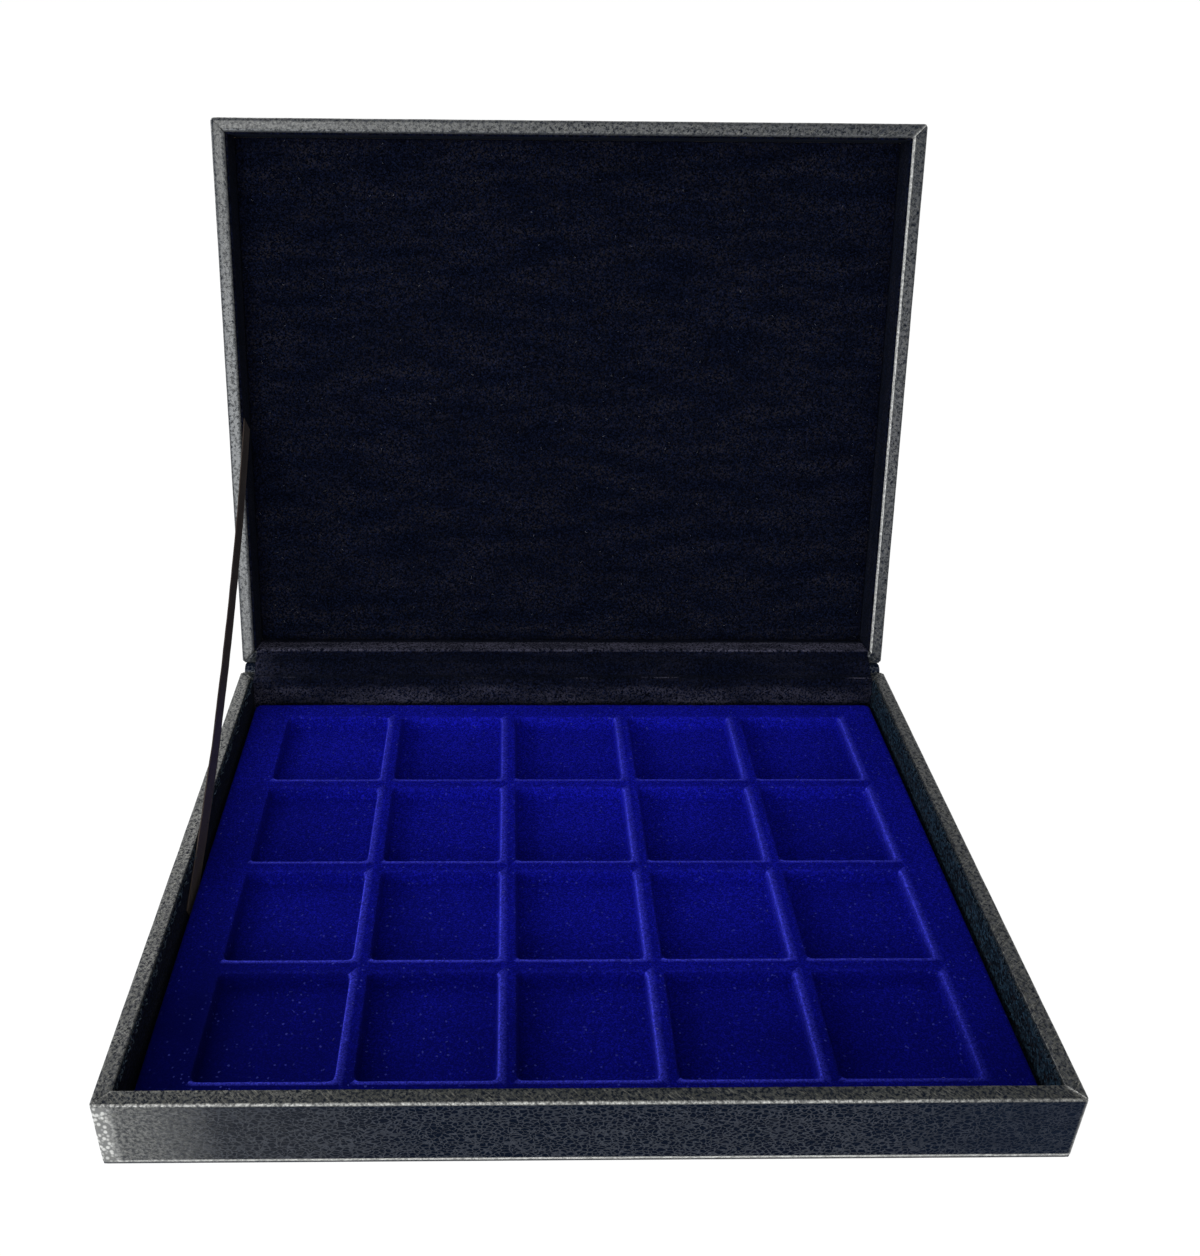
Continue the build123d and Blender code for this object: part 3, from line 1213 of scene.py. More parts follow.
    def cover(self, side: Side) -> Piece:
        """Makes the cover of one side.

        Args:
            side: The side.

        Returns:
            The new piece.
        """
        along, across = self.case.reach(side)
        section, outer_count = self.section()
        closed = section + section[:1]
        lengths = distances([(spot.inset, spot.depth) for spot in closed])
        normals = self._normals(section, outer_count)
        points, uvs = [], []
        values: dict[str, list[list[float]]] = {PAINTED_HIGHLIGHT: [], DRAWN: [], POLISH: []}
        for share, turn in self.stations(along):
            grid = [
                self._spot(side, share, turn, spot, length, lift, along, across)
                for spot, length, lift in zip(closed, lengths, normals + normals[:1])
            ]
            shift = side.value * self.grain_shift
            points.append([place for place, _, _ in grid])
            uvs.append([(x + shift, length) for (_, x, _), length in zip(grid, lengths)])
            found = [self.values(spot, side, x, along) for spot, (_, x, _) in zip(closed, grid)]
            for value, (_, _, seam) in zip(found, grid):
                value[PAINTED_HIGHLIGHT] = max(value[PAINTED_HIGHLIGHT], seam)
            for name, rows in values.items():
                rows.append([value[name] for value in found])
        patch = Patchwork(f"{self.half.body}_{side.label}_wrap")
        made = patch.rows(points, uvs, values)
        patch.cap(made[0][:-1])
        patch.cap(made[-1][:-1])
        place = side.turn if self.half is Half.BASE else self.case.lid_place @ side.turn
        return patch.object(self.finish, place)

    def _spot(
        self, side: Side, share: float, turn: float, spot: Spot, length: float,
        lift: Point | None, along: float, across: float,
    ) -> tuple[Vector, float, float]:
        """Sets one point of a cover as if it were the front one, with its seam and its unevenness.

        Args:
            side: Side whose cover it is.
            share: Share of the straight stretch.
            turn: Angle round the corner.
            spot: The point of the section.
            length: Its place along the section.
            lift: Way out of the face there, none on the hidden faces.
            along: Half of the wall's outer length.
            across: Half of the box the other way.

        Returns:
            The point, its place along the wall, and how bright the painted highlight on its mitre is there.
        """
        case = self.case
        inset, depth = spot.inset, spot.depth
        x, y = self._place(share, turn, inset, along, across)
        end = 1 if x > 0 else -1
        mitre = ((along - abs(x)) - (across - abs(y))) / math.sqrt(2)
        close = max(0.0, 1 - mitre / self.seam_width) ** 2
        if side is Side.BACK and abs(x) < along - case.rim - self.drop_margin:
            depth = max(depth, self.back_drop)
        if lift:
            out = close * (self.overlap if side is Side.FRONT else -self.seam_depth)
            out += self.ripple_height * ripple(x, length, side.value, self.ripple_length)
            x, y = self._place(share, turn, inset + out * lift[0], along, across)
            depth += out * lift[1]
        # painted highlight along the mitre
        glint = max(0.0, 1 - mitre / self.seam_glint) ** 2 * SEAM_GLINTS.get((self.half, side, end), 0.0)
        return Vector((x, y, case.height(self.half, depth))), x, glint

    def _place(self, share: float, turn: float, inset: float, along: float, across: float) -> Point:
        """Place in plan of a point of a cover, as if it were the front one.

        Args:
            share: Share of the straight stretch.
            turn: Angle round the corner.
            inset: Distance inwards from the wall.
            along: Half of the wall's outer length.
            across: Half of the box the other way.

        Returns:
            Its X and Y.
        """
        radius = max(self.case.corner - inset, 0.0)
        x = share * (along - inset - radius) + radius * math.sin(turn)
        y = -(across - inset - radius) - radius * math.cos(turn)
        return x, y

    @staticmethod
    def _normals(section: list[Spot], outer_count: int) -> list[Point | None]:
        """Way out of the outer face at each of its points, in (inset, depth).

        Args:
            section: The section's points.
            outer_count: How many lie on the outer face.

        Returns:
            The way out at each, none on the hidden faces.
        """
        found: list[Point | None] = []
        for index in range(len(section)):
            if not 0 < index < outer_count - 1:
                found.append(None)
                continue
            before, after = section[index - 1], section[index + 1]
            along, down = after.inset - before.inset, after.depth - before.depth
            length = math.hypot(along, down)
            found.append((down / length, -along / length))
        return found

    def build(self) -> None:
        """Makes the four covers, gives each its body and finish, and hides the node that each replaces."""
        for side in Side:
            piece = self.cover(side)
            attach(piece, self.half.body)
            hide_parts(f"{self.half.body}_{side.label}_cover")
            report(piece)


@dataclass
class LidTop:
    """Leatherette over the lid's top board, folded over its edges."""

    case: Case
    finish: Material
    edge: float = 1.5 * MM

    def build(self) -> None:
        """Makes the cover as a thin shell and sets it on the lid."""
        case, thin, edge = self.case, self.case.cover, self.edge
        face = arc((edge, -edge), edge, 90, 180, 6)
        inner = arc((edge, -edge), edge - thin, 90, 180, 4)
        back = [(edge, -thin), *inner[1:-1], (thin, -edge), (0.0, -edge)]
        plate = Plate(
            "lid_top_wrap", case.half_x, case.half_y, case.corner, face, back,
            cells=40, unevenness=0.12 * MM, uneven_length=60 * MM, seed=3.0,
        )
        top = case.lid_rim + case.lid_height
        piece = plate.object(self.finish, case.lid_place @ Matrix.Translation((0, 0, top)))
        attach(piece, "lid")
        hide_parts("lid_top_cover")
        report(piece)


@dataclass
class Linings:
    """Velvet on thin card along the inside of three walls of one half."""

    case: Case
    half: Half
    finish: Material
    right_finish: Material
    soft_edge: float = 0.35 * MM
    corner: float = 0.4 * MM

    def build(self) -> list[Piece]:
        """Makes the three linings, each stretched over its own card.

        Returns:
            The linings, from the front one on.
        """
        made = []
        case = self.case
        depth = case.lid_height - case.lid_ceiling
        if self.half is Half.BASE:
            depth = case.base_height - case.floor_top
        low, high = sorted(case.height(self.half, end) for end in (depth, case.reveal))
        for side in (Side.FRONT, Side.RIGHT, Side.LEFT):
            along, across = case.reach(side)
            start = case.rim + (case.lining if side.crosswise else 0.0)
            length = 2 * along - case.rim - start
            centre = (start - case.rim) / 2 * (-1 if side is Side.LEFT else 1)
            piece = self._strip(side, length, low, high, across, centre)
            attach(piece, self.half.body)
            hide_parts(f"{self.half.body}_{side.label}_lining")
            high - low
            LOG.info("%s: %.0f by %.0f mm", piece.name, length / MM, (high - low) / MM)
            made.append(piece)
        return made

    def _strip(
        self, side: Side, length: float, low: float, high: float, across: float, shift: float
    ) -> Piece:
        """Makes one lining, standing against its wall.

        Args:
            side: Side of its wall.
            length: Its length along the wall.
            low: Height of its lower edge.
            high: Height of its upper edge.
            across: Half of the box the other way.
            shift: Place of its middle along the wall.

        Returns:
            The lining.
        """
        case, soft = self.case, self.soft_edge
        face = arc((soft, case.lining - soft), soft, 90, 180, 4)
        back = [(0.0, 0.0), (0.0, case.lining - soft)]
        plate = Plate(
            f"{self.half.body}_{side.label}_velvet", length / 2, (high - low) / 2, self.corner, face, back,
            cells=20, unevenness=0.1 * MM, uneven_length=12 * MM, seed=float(side.value),
        )
        upright = Matrix((
            (-1, 0, 0, shift),
            (0, 0, 1, -across + case.rim),
            (0, 1, 0, (low + high) / 2),
            (0, 0, 0, 1),
        ))
        place = side.turn @ upright
        if self.half is Half.LID:
            place = case.lid_place @ place
        return plate.object(self.right_finish if side is Side.RIGHT else self.finish, place)


@dataclass
class FloorAndUnderside:
    """Velvet floor lining inside the base and the thin dark sheet under it."""

    case: Case
    velvet: Material
    paper: Material
    lining: float = 1.0 * MM
    lining_corner: float = 0.5 * MM
    soft_edge: float = 0.4 * MM
    fit: float = 0.2 * MM
    sheet_inset: float = 0.35 * MM
    sheet_corner: float = 0.8 * MM
    sheet_edge: float = 0.2 * MM
    cells: int = 20

    def build(self) -> None:
        """Makes both plates."""
        case, soft, thin = self.case, self.soft_edge, self.sheet_edge
        inset = case.rim - case.cover + self.fit
        half_x, half_y, rise = case.half_x - inset, case.half_y - inset, self.lining - soft
        floor = Plate(
            "base_floor_velvet", half_x, half_y, self.lining_corner,
            arc((soft, rise), soft, 90, 180, 3), [(0.0, 0.0), (0.0, rise)], cells=self.cells,
        ).object(self.velvet, Matrix.Translation((0, 0, case.floor_top - self.lining)))
        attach(floor, "base")
        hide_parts("base_floor_lining")
        flat = (2 * half_y, 2 * half_x)

        rise = case.sheet - thin
        sheet = Plate(
            "underside_paper", case.half_x - self.sheet_inset, case.half_y - self.sheet_inset,
            self.sheet_corner, arc((thin, rise), thin, 90, 180, 2),
            [(thin, 0.0), (0.0, thin), (0.0, rise)], cells=self.cells,
        ).object(self.paper, Matrix.Identity(4))
        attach(sheet, "base")
        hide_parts("underside_sheet")
        LOG.info("floor lining and underside sheet")


@dataclass
class LidPad:
    """Velvet drawn over the card that lines the lid's top."""

    case: Case
    finish: Material
    thickness: float = 1.0 * MM
    card: float = 1.0 * MM
    fit: float = 0.1 * MM
    strip_room: float = 0.976 * MM
    soft_edge: float = 0.8 * MM
    corner: float = 0.9 * MM

    def build(self) -> Piece:
        """Makes the velvet as a shell whose turned edges reach the lid's top.

        Returns:
            The velvet.
        """
        case = self.case
        lined = case.rim + case.lining
        front = -case.half_y + lined + self.fit
        back = case.half_y - case.rim - self.strip_room - self.fit
        half_x = case.half_x - lined - self.fit
        half_y = (back - front) / 2
        full, soft = self.thickness + self.card, self.soft_edge
        face = arc((soft, full - soft), soft, 90, 180, 5) + [(0.0, 0.0)]
        under = [(self.thickness, self.card), (self.thickness, 0.0), (0.0, 0.0)]
        plate = Plate(
            "lid_pad_cloth", half_x, half_y, self.corner, face, under,
            cells=44, unevenness=0.22 * MM, uneven_length=55 * MM, seed=8.0,
        )
        ceiling = case.lid_rim + case.lid_height - case.lid_ceiling
        flip = Matrix.Translation((0, (front + back) / 2, ceiling)) @ Matrix.Rotation(math.pi, 4, "X")
        piece = plate.object(self.finish, case.lid_place @ flip)
        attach(piece, "lid")
        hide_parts("lid_pad_velvet")
        cut = (2 * (half_y + full), 2 * (half_x + full))
        LOG.info("%s: cut %.0f by %.0f mm", piece.name, cut[1] / MM, cut[0] / MM)
        return piece


def smooth_path(points: list[Point], radius: float, step: float) -> list[Point]:
    """Rounds the corners of a path and gives points along it.

    Args:
        points: Its corners and ends.
        radius: Radius of the rounding, less where a run is short.
        step: Spacing of the points.

    Returns:
        The points.
    """
    corners = [Vector(point) for point in points]
    path: list[Vector] = [corners[0]]
    for before, corner, after in zip(corners, corners[1:], corners[2:]):
        into, out = (corner - before), (after - corner)
        turn = into.angle(out)
        reach = min(radius * math.tan(turn / 2), 0.45 * into.length, 0.45 * out.length)
        start, end = corner - into.normalized() * reach, corner + out.normalized() * reach
        for share in (0.0, 0.25, 0.5, 0.75, 1.0):
            path.append(start.lerp(corner, share).lerp(corner.lerp(end, share), share))
    path.append(corners[-1])
    result = [path[0]]
    for first, second in zip(path, path[1:]):
        count = max(1, round((second - first).length / step))
        result += [first.lerp(second, part / count) for part in range(1, count + 1)]
    return [tuple(point) for point in result]


@dataclass(frozen=True)
class Crease:
    """Soft random creases of one height and length, drawn out across the box."""

    height: float
    length: float
    seed: float
    drawn_out: float = 1.0
    least: float = -1.0

    def at(self, x: float, s: float) -> float:
        """Height at a place across the box and along the strip."""
        return self.height * max(ripple(x, s * self.drawn_out, self.seed, self.length), self.least)


@dataclass
class Band:
    """A strip of cloth or leatherette that runs across the box along a path in section."""

    name: str
    path: list[Point]
    half_width: float
    thickness: float
    columns: int
    crease: Callable[[float, float], float] = lambda x, s: 0.0

    def object(self, finish: Material) -> Piece:
        """Makes the band as a closed strip of its own thickness.

        Args:
            finish: Its material.

        Returns:
            The band.
        """
        patch = Patchwork(self.name)
        path = [Vector(point) for point in self.path]
        lengths = distances(self.path)
        ways = []
        for index in range(len(path)):
            way = path[min(index + 1, len(path) - 1)] - path[max(index - 1, 0)]
            ways.append(Vector((-way.y, way.x)).normalized())
        sheets = []
        for side in (1, -1):
            rows, uvs = [], []
            for column in range(self.columns + 1):
                x = self.half_width * (2 * column / self.columns - 1)
                row = []
                for point, way, s in zip(path, ways, lengths):
                    out = side * self.thickness / 2 + self.crease(x, s)
                    row.append(Vector((x, point.x + way.x * out, point.y + way.y * out)))
                rows.append(row)
                uvs.append([(x, s) for s in lengths])
            sheets.append(patch.rows(rows, uvs))
        patch.close(*sheets)
        return patch.object(finish, sharp=60.0)


@dataclass
class Hinge:
    """The cloth hinge: a leatherette spine outside and a velvet strip inside."""

    case: Case
    leatherette: Material
    velvet: Material
    spine: float = 0.8 * MM
    spine_tab: float = 12.0 * MM
    spine_inset: float = 2.0 * MM
    fold: float = 0.8 * MM
    fold_lift: float = 0.576 * MM
    fold_drop: float = 1.2 * MM
    fold_leave: float = 2.4 * MM
    fold_land: float = 4.0 * MM
    hump: float = 5.0 * MM
    hump_lead: float = 0.8 * MM
    foot_gap: float = 1.4 * MM
    foot_lift: float = 0.1 * MM
    foot_rise: float = 3.0 * MM
    end_fit: float = 0.3 * MM
    rounding: float = 1.6 * MM
    spacing: float = 0.9 * MM
    spine_crease: Crease = Crease(0.05 * MM, 9 * MM, 5.0)
    long_crease: Crease = Crease(0.28 * MM, 60 * MM, 21.0, drawn_out=9.0, least=-0.3)
    short_crease: Crease = Crease(0.08 * MM, 14 * MM, 4.0, drawn_out=3.0)

    def build(self) -> None:
        """Makes the spine and the strip, both shaped round the bend between base and lid as the lid stands
        open.
        """
        self._spine()
        self._strip()

    def _spine(self) -> None:
        """Makes the spine round the hinge's axis."""
        case = self.case
        radius = case.hinge_y - case.half_y - self.spine / 2
        turn = math.degrees(case.open_angle)
        bend = arc((case.hinge_y, case.hinge_z), radius, 180, 180 - turn, 10)
        start = (bend[0][0], bend[0][1] - self.spine_tab)
        lean = case.open_angle
        end = (bend[-1][0] + self.spine_tab * math.sin(lean), bend[-1][1] + self.spine_tab * math.cos(lean))
        path = [start, *run(start, bend[0], 6), *bend, *run(bend[-1], end, 6), end]
        band = Band(
            "hinge_spine_wrap", path, case.half_x - self.spine_inset, self.spine, 120, self.spine_crease.at
        )
        piece = band.object(self.leatherette)
        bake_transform(piece)
        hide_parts("hinge_spine")
        length = 2 * self.spine_tab + radius * case.open_angle
        2 * band.half_width
        report(piece)

    def _strip(self) -> None:
        """Makes the velvet strip from behind the tray, over both back rims, into the lid."""
        case = self.case
        tray_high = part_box("coin_tray")[1]
        foot_y = tray_high.y + self.foot_gap
        wall_y = case.half_y - case.rim - self.fold_lift
        base_rim = case.base_height - self.fold_drop + self.fold_lift
        lid_rim = self.fold_drop - self.fold_lift
        lid_end = case.lid_height - case.lid_ceiling - self.end_fit
        leave = (case.half_y - self.fold_leave, base_rim)
        land = case.opened(case.half_y - self.fold_land, lid_rim)
        corners = [
            (foot_y, case.floor_top + self.foot_lift),
            (foot_y, case.floor_top + self.foot_rise),
            (wall_y, base_rim),
            leave,
            (case.hinge_y - self.hump_lead, case.hinge_z + self.hump),
            land,
            case.opened(wall_y, lid_rim),
            case.opened(wall_y, lid_end),
        ]
        path = smooth_path(corners, self.rounding, self.spacing)
        total = distances(path)[-1]

        def crease(x: float, s: float) -> float:
            """Soft creases that run across the box, none at the two ends of the strip.

            Args:
                x: Place across the box.
                s: Place along the strip.

            Returns:
                Its height there.
            """
            held = math.sin(math.pi * s / total)
            return held * (self.long_crease.at(x, s) + self.short_crease.at(x, s))

        width = case.half_x - case.rim - case.lining - self.end_fit
        piece = Band("velvet_fold", path, width, self.fold, 160, crease).object(self.velvet)
        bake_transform(piece)
        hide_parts("velvet_hinge_strip")
        2 * width
        LOG.info("%s: %.0f by %.0f mm", piece.name, 2 * width / MM, total / MM)


@dataclass
class StayRibbon:
    """Satin ribbon beside the left walls that stops the lid."""

    case: Case
    finish: Material
    width: float = 13.0 * MM
    thickness: float = 0.4 * MM
    sag: float = 10.0 * MM
    base_setback: float = 160.4 * MM
    foot_height: float = 7.5 * MM
    lid_setback: float = 124.3 * MM
    lid_depth: float = 8.4 * MM
    clearance: float = 0.05 * MM
    bow: float = 0.35 * MM
    bow_length: float = 30 * MM
    cup: float = 0.12 * MM
    cup_length: float = 8 * MM
    steps: int = 90
    columns: int = 6

    def build(self) -> None:
        """Makes the ribbon edge on, in a shallow hanging curve."""
        case = self.case
        head = Vector(case.opened(case.half_y - self.lid_setback, self.lid_depth))
        foot = Vector((case.half_y - self.base_setback, case.floor_top + self.foot_height))
        chord = head - foot
        half = chord.length / 2
        radius = (half**2 + self.sag**2) / (2 * self.sag)
        hang = Vector((chord.y, -chord.x)).normalized()
        centre = (head + foot) / 2 - hang * (radius - self.sag)
        spread = math.asin(half / radius)
        near = -case.half_x + case.rim + case.lining + self.clearance
        patch = Patchwork("stay_ribbon_satin")
        faces = []
        length = 2 * radius * spread
        for lift in (0.0, self.thickness):
            rows, uvs = [], []
            for step in range(self.steps + 1):
                share = 2 * step / self.steps - 1
                out = self._turned(hang, share * spread)
                s = (share + 1) * length / 2
                uneven = 1 + ripple(s, 0, 7.0, self.bow_length)
                bow = self.bow * math.sin(math.pi * (share + 1) / 2) * uneven
                row, marks = [], []
                for column in range(self.columns + 1):
                    across = self.width * (column / self.columns - 0.5)
                    spot = centre + out * (radius + across)
                    cup = self.cup * ripple(s, across, 2.0, self.cup_length)
                    row.append(Vector((near + bow + cup + lift, spot.x, spot.y)))
                    marks.append((across, s))
                rows.append(row)
                uvs.append(marks)
            faces.append(patch.rows(rows, uvs))
        patch.close(*faces)
        piece = patch.object(self.finish, sharp=60.0)
        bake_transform(piece)
        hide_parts("stay_ribbon")
        LOG.info("%s: %.0f mm long", piece.name, length / MM)

    @staticmethod
    def _turned(way: Vector, turn: float) -> Vector:
        """Turns a direction in section.

        Args:
            way: The direction.
            turn: The angle.

        Returns:
            The new direction.
        """
        return Vector((
            way.x * math.cos(turn) - way.y * math.sin(turn),
            way.x * math.sin(turn) + way.y * math.cos(turn),
        ))


class GeometryTree(NodeGraph):
    """Geometry Nodes tree with named inputs, run once on an object."""

    def __init__(self, name: str) -> None:
        """Makes the tree with its geometry in and out.

        Args:
            name: The tree's name.
        """
        super().__init__(bpy.data.node_groups.new(name, "GeometryNodeTree"))
        self.tree.interface.new_socket("Geometry", in_out="INPUT", socket_type="NodeSocketGeometry")
        self.tree.interface.new_socket("Geometry", in_out="OUTPUT", socket_type="NodeSocketGeometry")
        self.start = self.tree.nodes.new("NodeGroupInput")
        self.end = self.tree.nodes.new("NodeGroupOutput")
        self.values: dict[str, Any] = {}

    def input(self, name: str, kind: str, value: Any) -> Sock:
        """Adds a named input and keeps its value for the run.

        Args:
            name: Its name.
            kind: Its kind, as in the socket's type.
            value: Its value.

        Returns:
            The input inside the tree.
        """
        made = self.tree.interface.new_socket(name, in_out="INPUT", socket_type=f"NodeSocket{kind}")
        self.values[made.identifier] = value
        return Sock(self, self.start.outputs[name])

    def finished(self, geometry: Sock, finish: Sock) -> Sock:
        """Makes instances real and gives all of it its finish."""
        real = self.out("GeometryNodeRealizeInstances", 0, inputs={0: geometry})
        return self.out("GeometryNodeSetMaterial", 0, inputs={"Geometry": real, "Material": finish})

    def run(self, piece: Piece, result: Sock) -> bpy.types.Mesh:
        """Runs the tree on a piece.

        Args:
            piece: The object that the modifier is put on for the run.
            result: The tree's last geometry.

        Returns:
            The plain mesh that it makes.
        """
        self.feed(self.end.inputs[0], result)
        modifier = piece.modifiers.new(self.tree.name, "NODES")
        modifier.node_group = self.tree
        for identifier, value in self.values.items():
            modifier[identifier] = value
        bpy.context.view_layer.update()
        depsgraph = bpy.context.evaluated_depsgraph_get()
        mesh = bpy.data.meshes.new_from_object(piece.evaluated_get(depsgraph))
        piece.modifiers.remove(modifier)
        return mesh


@dataclass
class CoinTray:
    """Flocked insert: one pocket drawn as rings round its middle, set out on a grid, with a skirt."""

    case: Case
    finish: Material
    columns: int = 5
    rows: int = 4
    pocket: float = 51.0 * MM
    depth: float = 6.0 * MM
    draft: float = 1.0 * MM
    corner: float = 2.6 * MM
    lip_radius: float = 0.8 * MM
    floor_radius: float = 0.9 * MM
    divider: float = 6.65 * MM
    border_front: float = 10.4 * MM
    skirt: float = 0.5 * MM
    outer_corner: float = 3.2 * MM
    outer_lip: float = 1.2 * MM
    wall: float = 0.8 * MM
    weld: float = 0.02 * MM
    border_steps: tuple[float, ...] = (4 * MM, 2.4 * MM)
    skirt_steps: tuple[float, ...] = (0.3, 0.65, 0.95, 1.0)
    least_corner: float = 0.2 * MM
    wave: float = 0.35 * MM
    waves_per_metre: float = 45.0
    fuzz: float = 0.12 * MM
    fuzz_per_metre: float = 900.0
    rings: tuple[int, int, int, int, int] = (5, 8, 10, 14, 16)
    # painted highlights of the pockets: how sharply they turn between sides, and how bright on the side that
    # faces left
    diagonal: float = 0.05
    side_shine: float = 0.4

    def build(self) -> Piece:
        """Makes the tray and puts it in the base.

        Returns:
            The tray.
        """
        low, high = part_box("coin_tray")
        tree = GeometryTree("tray_pockets")
        sizes = {
            "Pitch": self.pocket + self.divider,
            "Pocket": self.pocket,
            "Depth": self.depth,
            "Corner Radius": self.corner,
            "Lip Radius": self.lip_radius,
            "Floor Radius": self.floor_radius,
        }
        lengths = [tree.input(name, "Float", size) for name, size in sizes.items()]
        pitch = lengths[0]
        columns = tree.input("Columns", "Int", self.columns)
        rows = tree.input("Rows", "Int", self.rows)
        cloth = tree.input("Flock", "Material", self.finish)
        cell = self._cell(tree, *lengths)
        grid = {"Size X": (columns - 1) * pitch, "Size Y": (rows - 1) * pitch}
        grid |= {"Vertices X": columns, "Vertices Y": rows}
        seats = tree.out("GeometryNodeMeshGrid", "Mesh", inputs=grid)
        pockets = tree.out("GeometryNodeInstanceOnPoints", 0, inputs={"Points": seats, "Instance": cell})
        pockets = tree.out("GeometryNodeRealizeInstances", 0, inputs={0: pockets})
        near = {"Geometry": pockets, "Distance": self.weld}
        pockets = tree.out("GeometryNodeMergeByDistance", 0, inputs=near)
        shell = self._border(tree, pockets, columns * pitch * 0.5, rows * pitch * 0.5, low, high)
        shell = self._settle(tree, shell, low, high)
        shell = tree.out("GeometryNodeSetShadeSmooth", 0, inputs={"Geometry": shell})
        piece = add_object("coin_tray_flock", bpy.data.meshes.new("coin_tray_flock"))
        piece.data = tree.run(piece, tree.finished(shell, cloth))
        walls = piece.modifiers.new("thickness", "SOLIDIFY")
        walls.thickness = self.wall
        walls.offset = -1.0
        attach(piece, "tray")
        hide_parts("coin_tray")
        report(piece)
        return piece

    def _middle(self, low: Vector) -> float:
        """Y of the middle of the block of pockets."""
        first_seat = low.y + self.skirt + self.border_front + self.pocket / 2
        return first_seat + (self.rows - 1) * (self.pocket + self.divider) / 2

    def _cell(
        self, tree: GeometryTree, pitch: Sock, pocket: Sock, depth: Sock, corner: Sock, lip: Sock, foot: Sock
    ) -> Sock:
        """Draws one pocket and half of the dividers round it, on a square grid of rings, with painted
        highlights on the lips that face left and the back and painted light on the wall that faces left.

        Args:
            tree: The node tree.
            pitch: Distance between pockets.
            pocket: Width of a pocket at its lip.
            depth: Depth of a pocket.
            corner: Radius of its corners.
            lip: Radius of its lip.
            foot: Radius at its floor.

        Returns:
            The cell's mesh.
        """
        floor_end, foot_end, wall_end, lip_end, last = self.rings
        side = 2 * last + 1
        grid = {"Size X": 2.0, "Size Y": 2.0, "Vertices X": side, "Vertices Y": side}
        flat = tree.out("GeometryNodeMeshGrid", "Mesh", inputs=grid)
        x, y, _ = tree.split(tree.out("GeometryNodeInputPosition", 0))
        reach = x.abs().at_least(y.abs())
        ring = reach * float(last)
        floor = ring.ramp(0, floor_end)
        foot_turn = ring.ramp(floor_end, foot_end)
        climb = ring.ramp(foot_end, wall_end)
        lip_turn = ring.ramp(wall_end, lip_end)
        top = ring.ramp(lip_end, last)

        lean = math.atan2(self.draft, self.depth)
        full = math.pi / 2 - lean
        wall_length = (depth - (lip + foot) * (1 - math.cos(full))) * (1 / math.cos(lean))
        lip_reach = pocket * 0.5 + lip * math.tan(full / 2)
        floor_half = lip_reach - lip * math.sin(full) - foot * math.sin(full) - wall_length * math.sin(lean)
        foot_angle = foot_turn * full
        lip_angle = (1.0 - lip_turn) * full
        half = floor_half * floor + foot * foot_angle.sin() + wall_length * climb * math.sin(lean)
        half = half + lip * (math.sin(full) - lip_angle.sin()) + (pitch * 0.5 - lip_reach) * top
        height = foot * (1.0 - foot_angle.cos()) + wall_length * climb * math.cos(lean)
        height = height + lip * (lip_angle.cos() - math.cos(full)) - depth
        radius = (half - (pocket * 0.5 - corner)).at_least(0.0) * floor * (1.0 - top)

        safe = reach.at_least(1e-6)
        across = (x / safe * (math.pi / 2)).sin() * half
        along = (y / safe * (math.pi / 2)).sin() * half
        spot = self._rounded(tree, across, along, half, half, radius)
        spot = tree.vector("ADD", spot, tree.join(0.0, 0.0, height))
        # painted highlight on the lips, and painted light on the wall and divider top that face left
        on_lip = ring.ramp(wall_end - 0.5, wall_end + 1) * (1.0 - ring.ramp(lip_end - 1.5, lip_end + 0.3))
        right = (x - y.abs()).ramp(-self.diagonal, self.diagonal)
        near = ((0.0 - y) - x.abs()).ramp(-self.diagonal, self.diagonal)
        on_top = ring.ramp(lip_end - 2, lip_end - 0.5)
        shine = on_lip * (0.05 + 0.95 * right)
        shine = shine + on_top * (1.0 - ring.ramp(lip_end + 0.1, lip_end + 0.6)) * near
        shine = shine + on_top * (1.0 - top) ** 0.5 * right * self.side_shine
        below = 1.0 - ring.ramp(wall_end - 0.5, wall_end + 1)
        shine = shine + climb * climb * below * right * self.side_shine
        flat = self._store(tree, flat, PAINTED_HIGHLIGHT, shine.at_most(1.0))
        return tree.out("GeometryNodeSetPosition", 0, inputs={"Geometry": flat, "Position": spot})

    @staticmethod
    def _rounded(tree: GeometryTree, x: Sock, y: Sock, half_x: Any, half_y: Any, radius: Any) -> Sock:
        """Brings a point of a rectangle's border onto its rounded corners.

        Args:
            tree: The node tree.
            x: Place across.
            y: Place along.
            half_x: Half of the width.
            half_y: Half of the length.
            radius: Radius of the corners.

        Returns:
            The point moved.
        """
        stop_x, stop_y = half_x - radius, half_y - radius
        held_x = x.at_most(stop_x).at_least(0.0 - stop_x)
        held_y = y.at_most(stop_y).at_least(0.0 - stop_y)
        out = tree.vector("NORMALIZE", tree.join(x - held_x, y - held_y, 0.0))
        out_x, out_y, _ = tree.split(out)
        return tree.join(held_x + out_x * radius, held_y + out_y * radius, 0.0)

    @staticmethod
    def _store(tree: GeometryTree, geometry: Sock, name: str, value: Sock, kind: str = "FLOAT") -> Sock:
        """Keeps a value on the points of a mesh.

        Args:
            tree: The node tree.
            geometry: The mesh.
            name: The layer's name.
            value: The value.
            kind: Type of the value.

        Returns:
            The mesh with its layer.
        """
        settings = {"data_type": kind, "domain": "POINT"}
        inputs = {"Geometry": geometry, "Name": name, "Value": value}
        return tree.out("GeometryNodeStoreNamedAttribute", 0, settings, inputs)

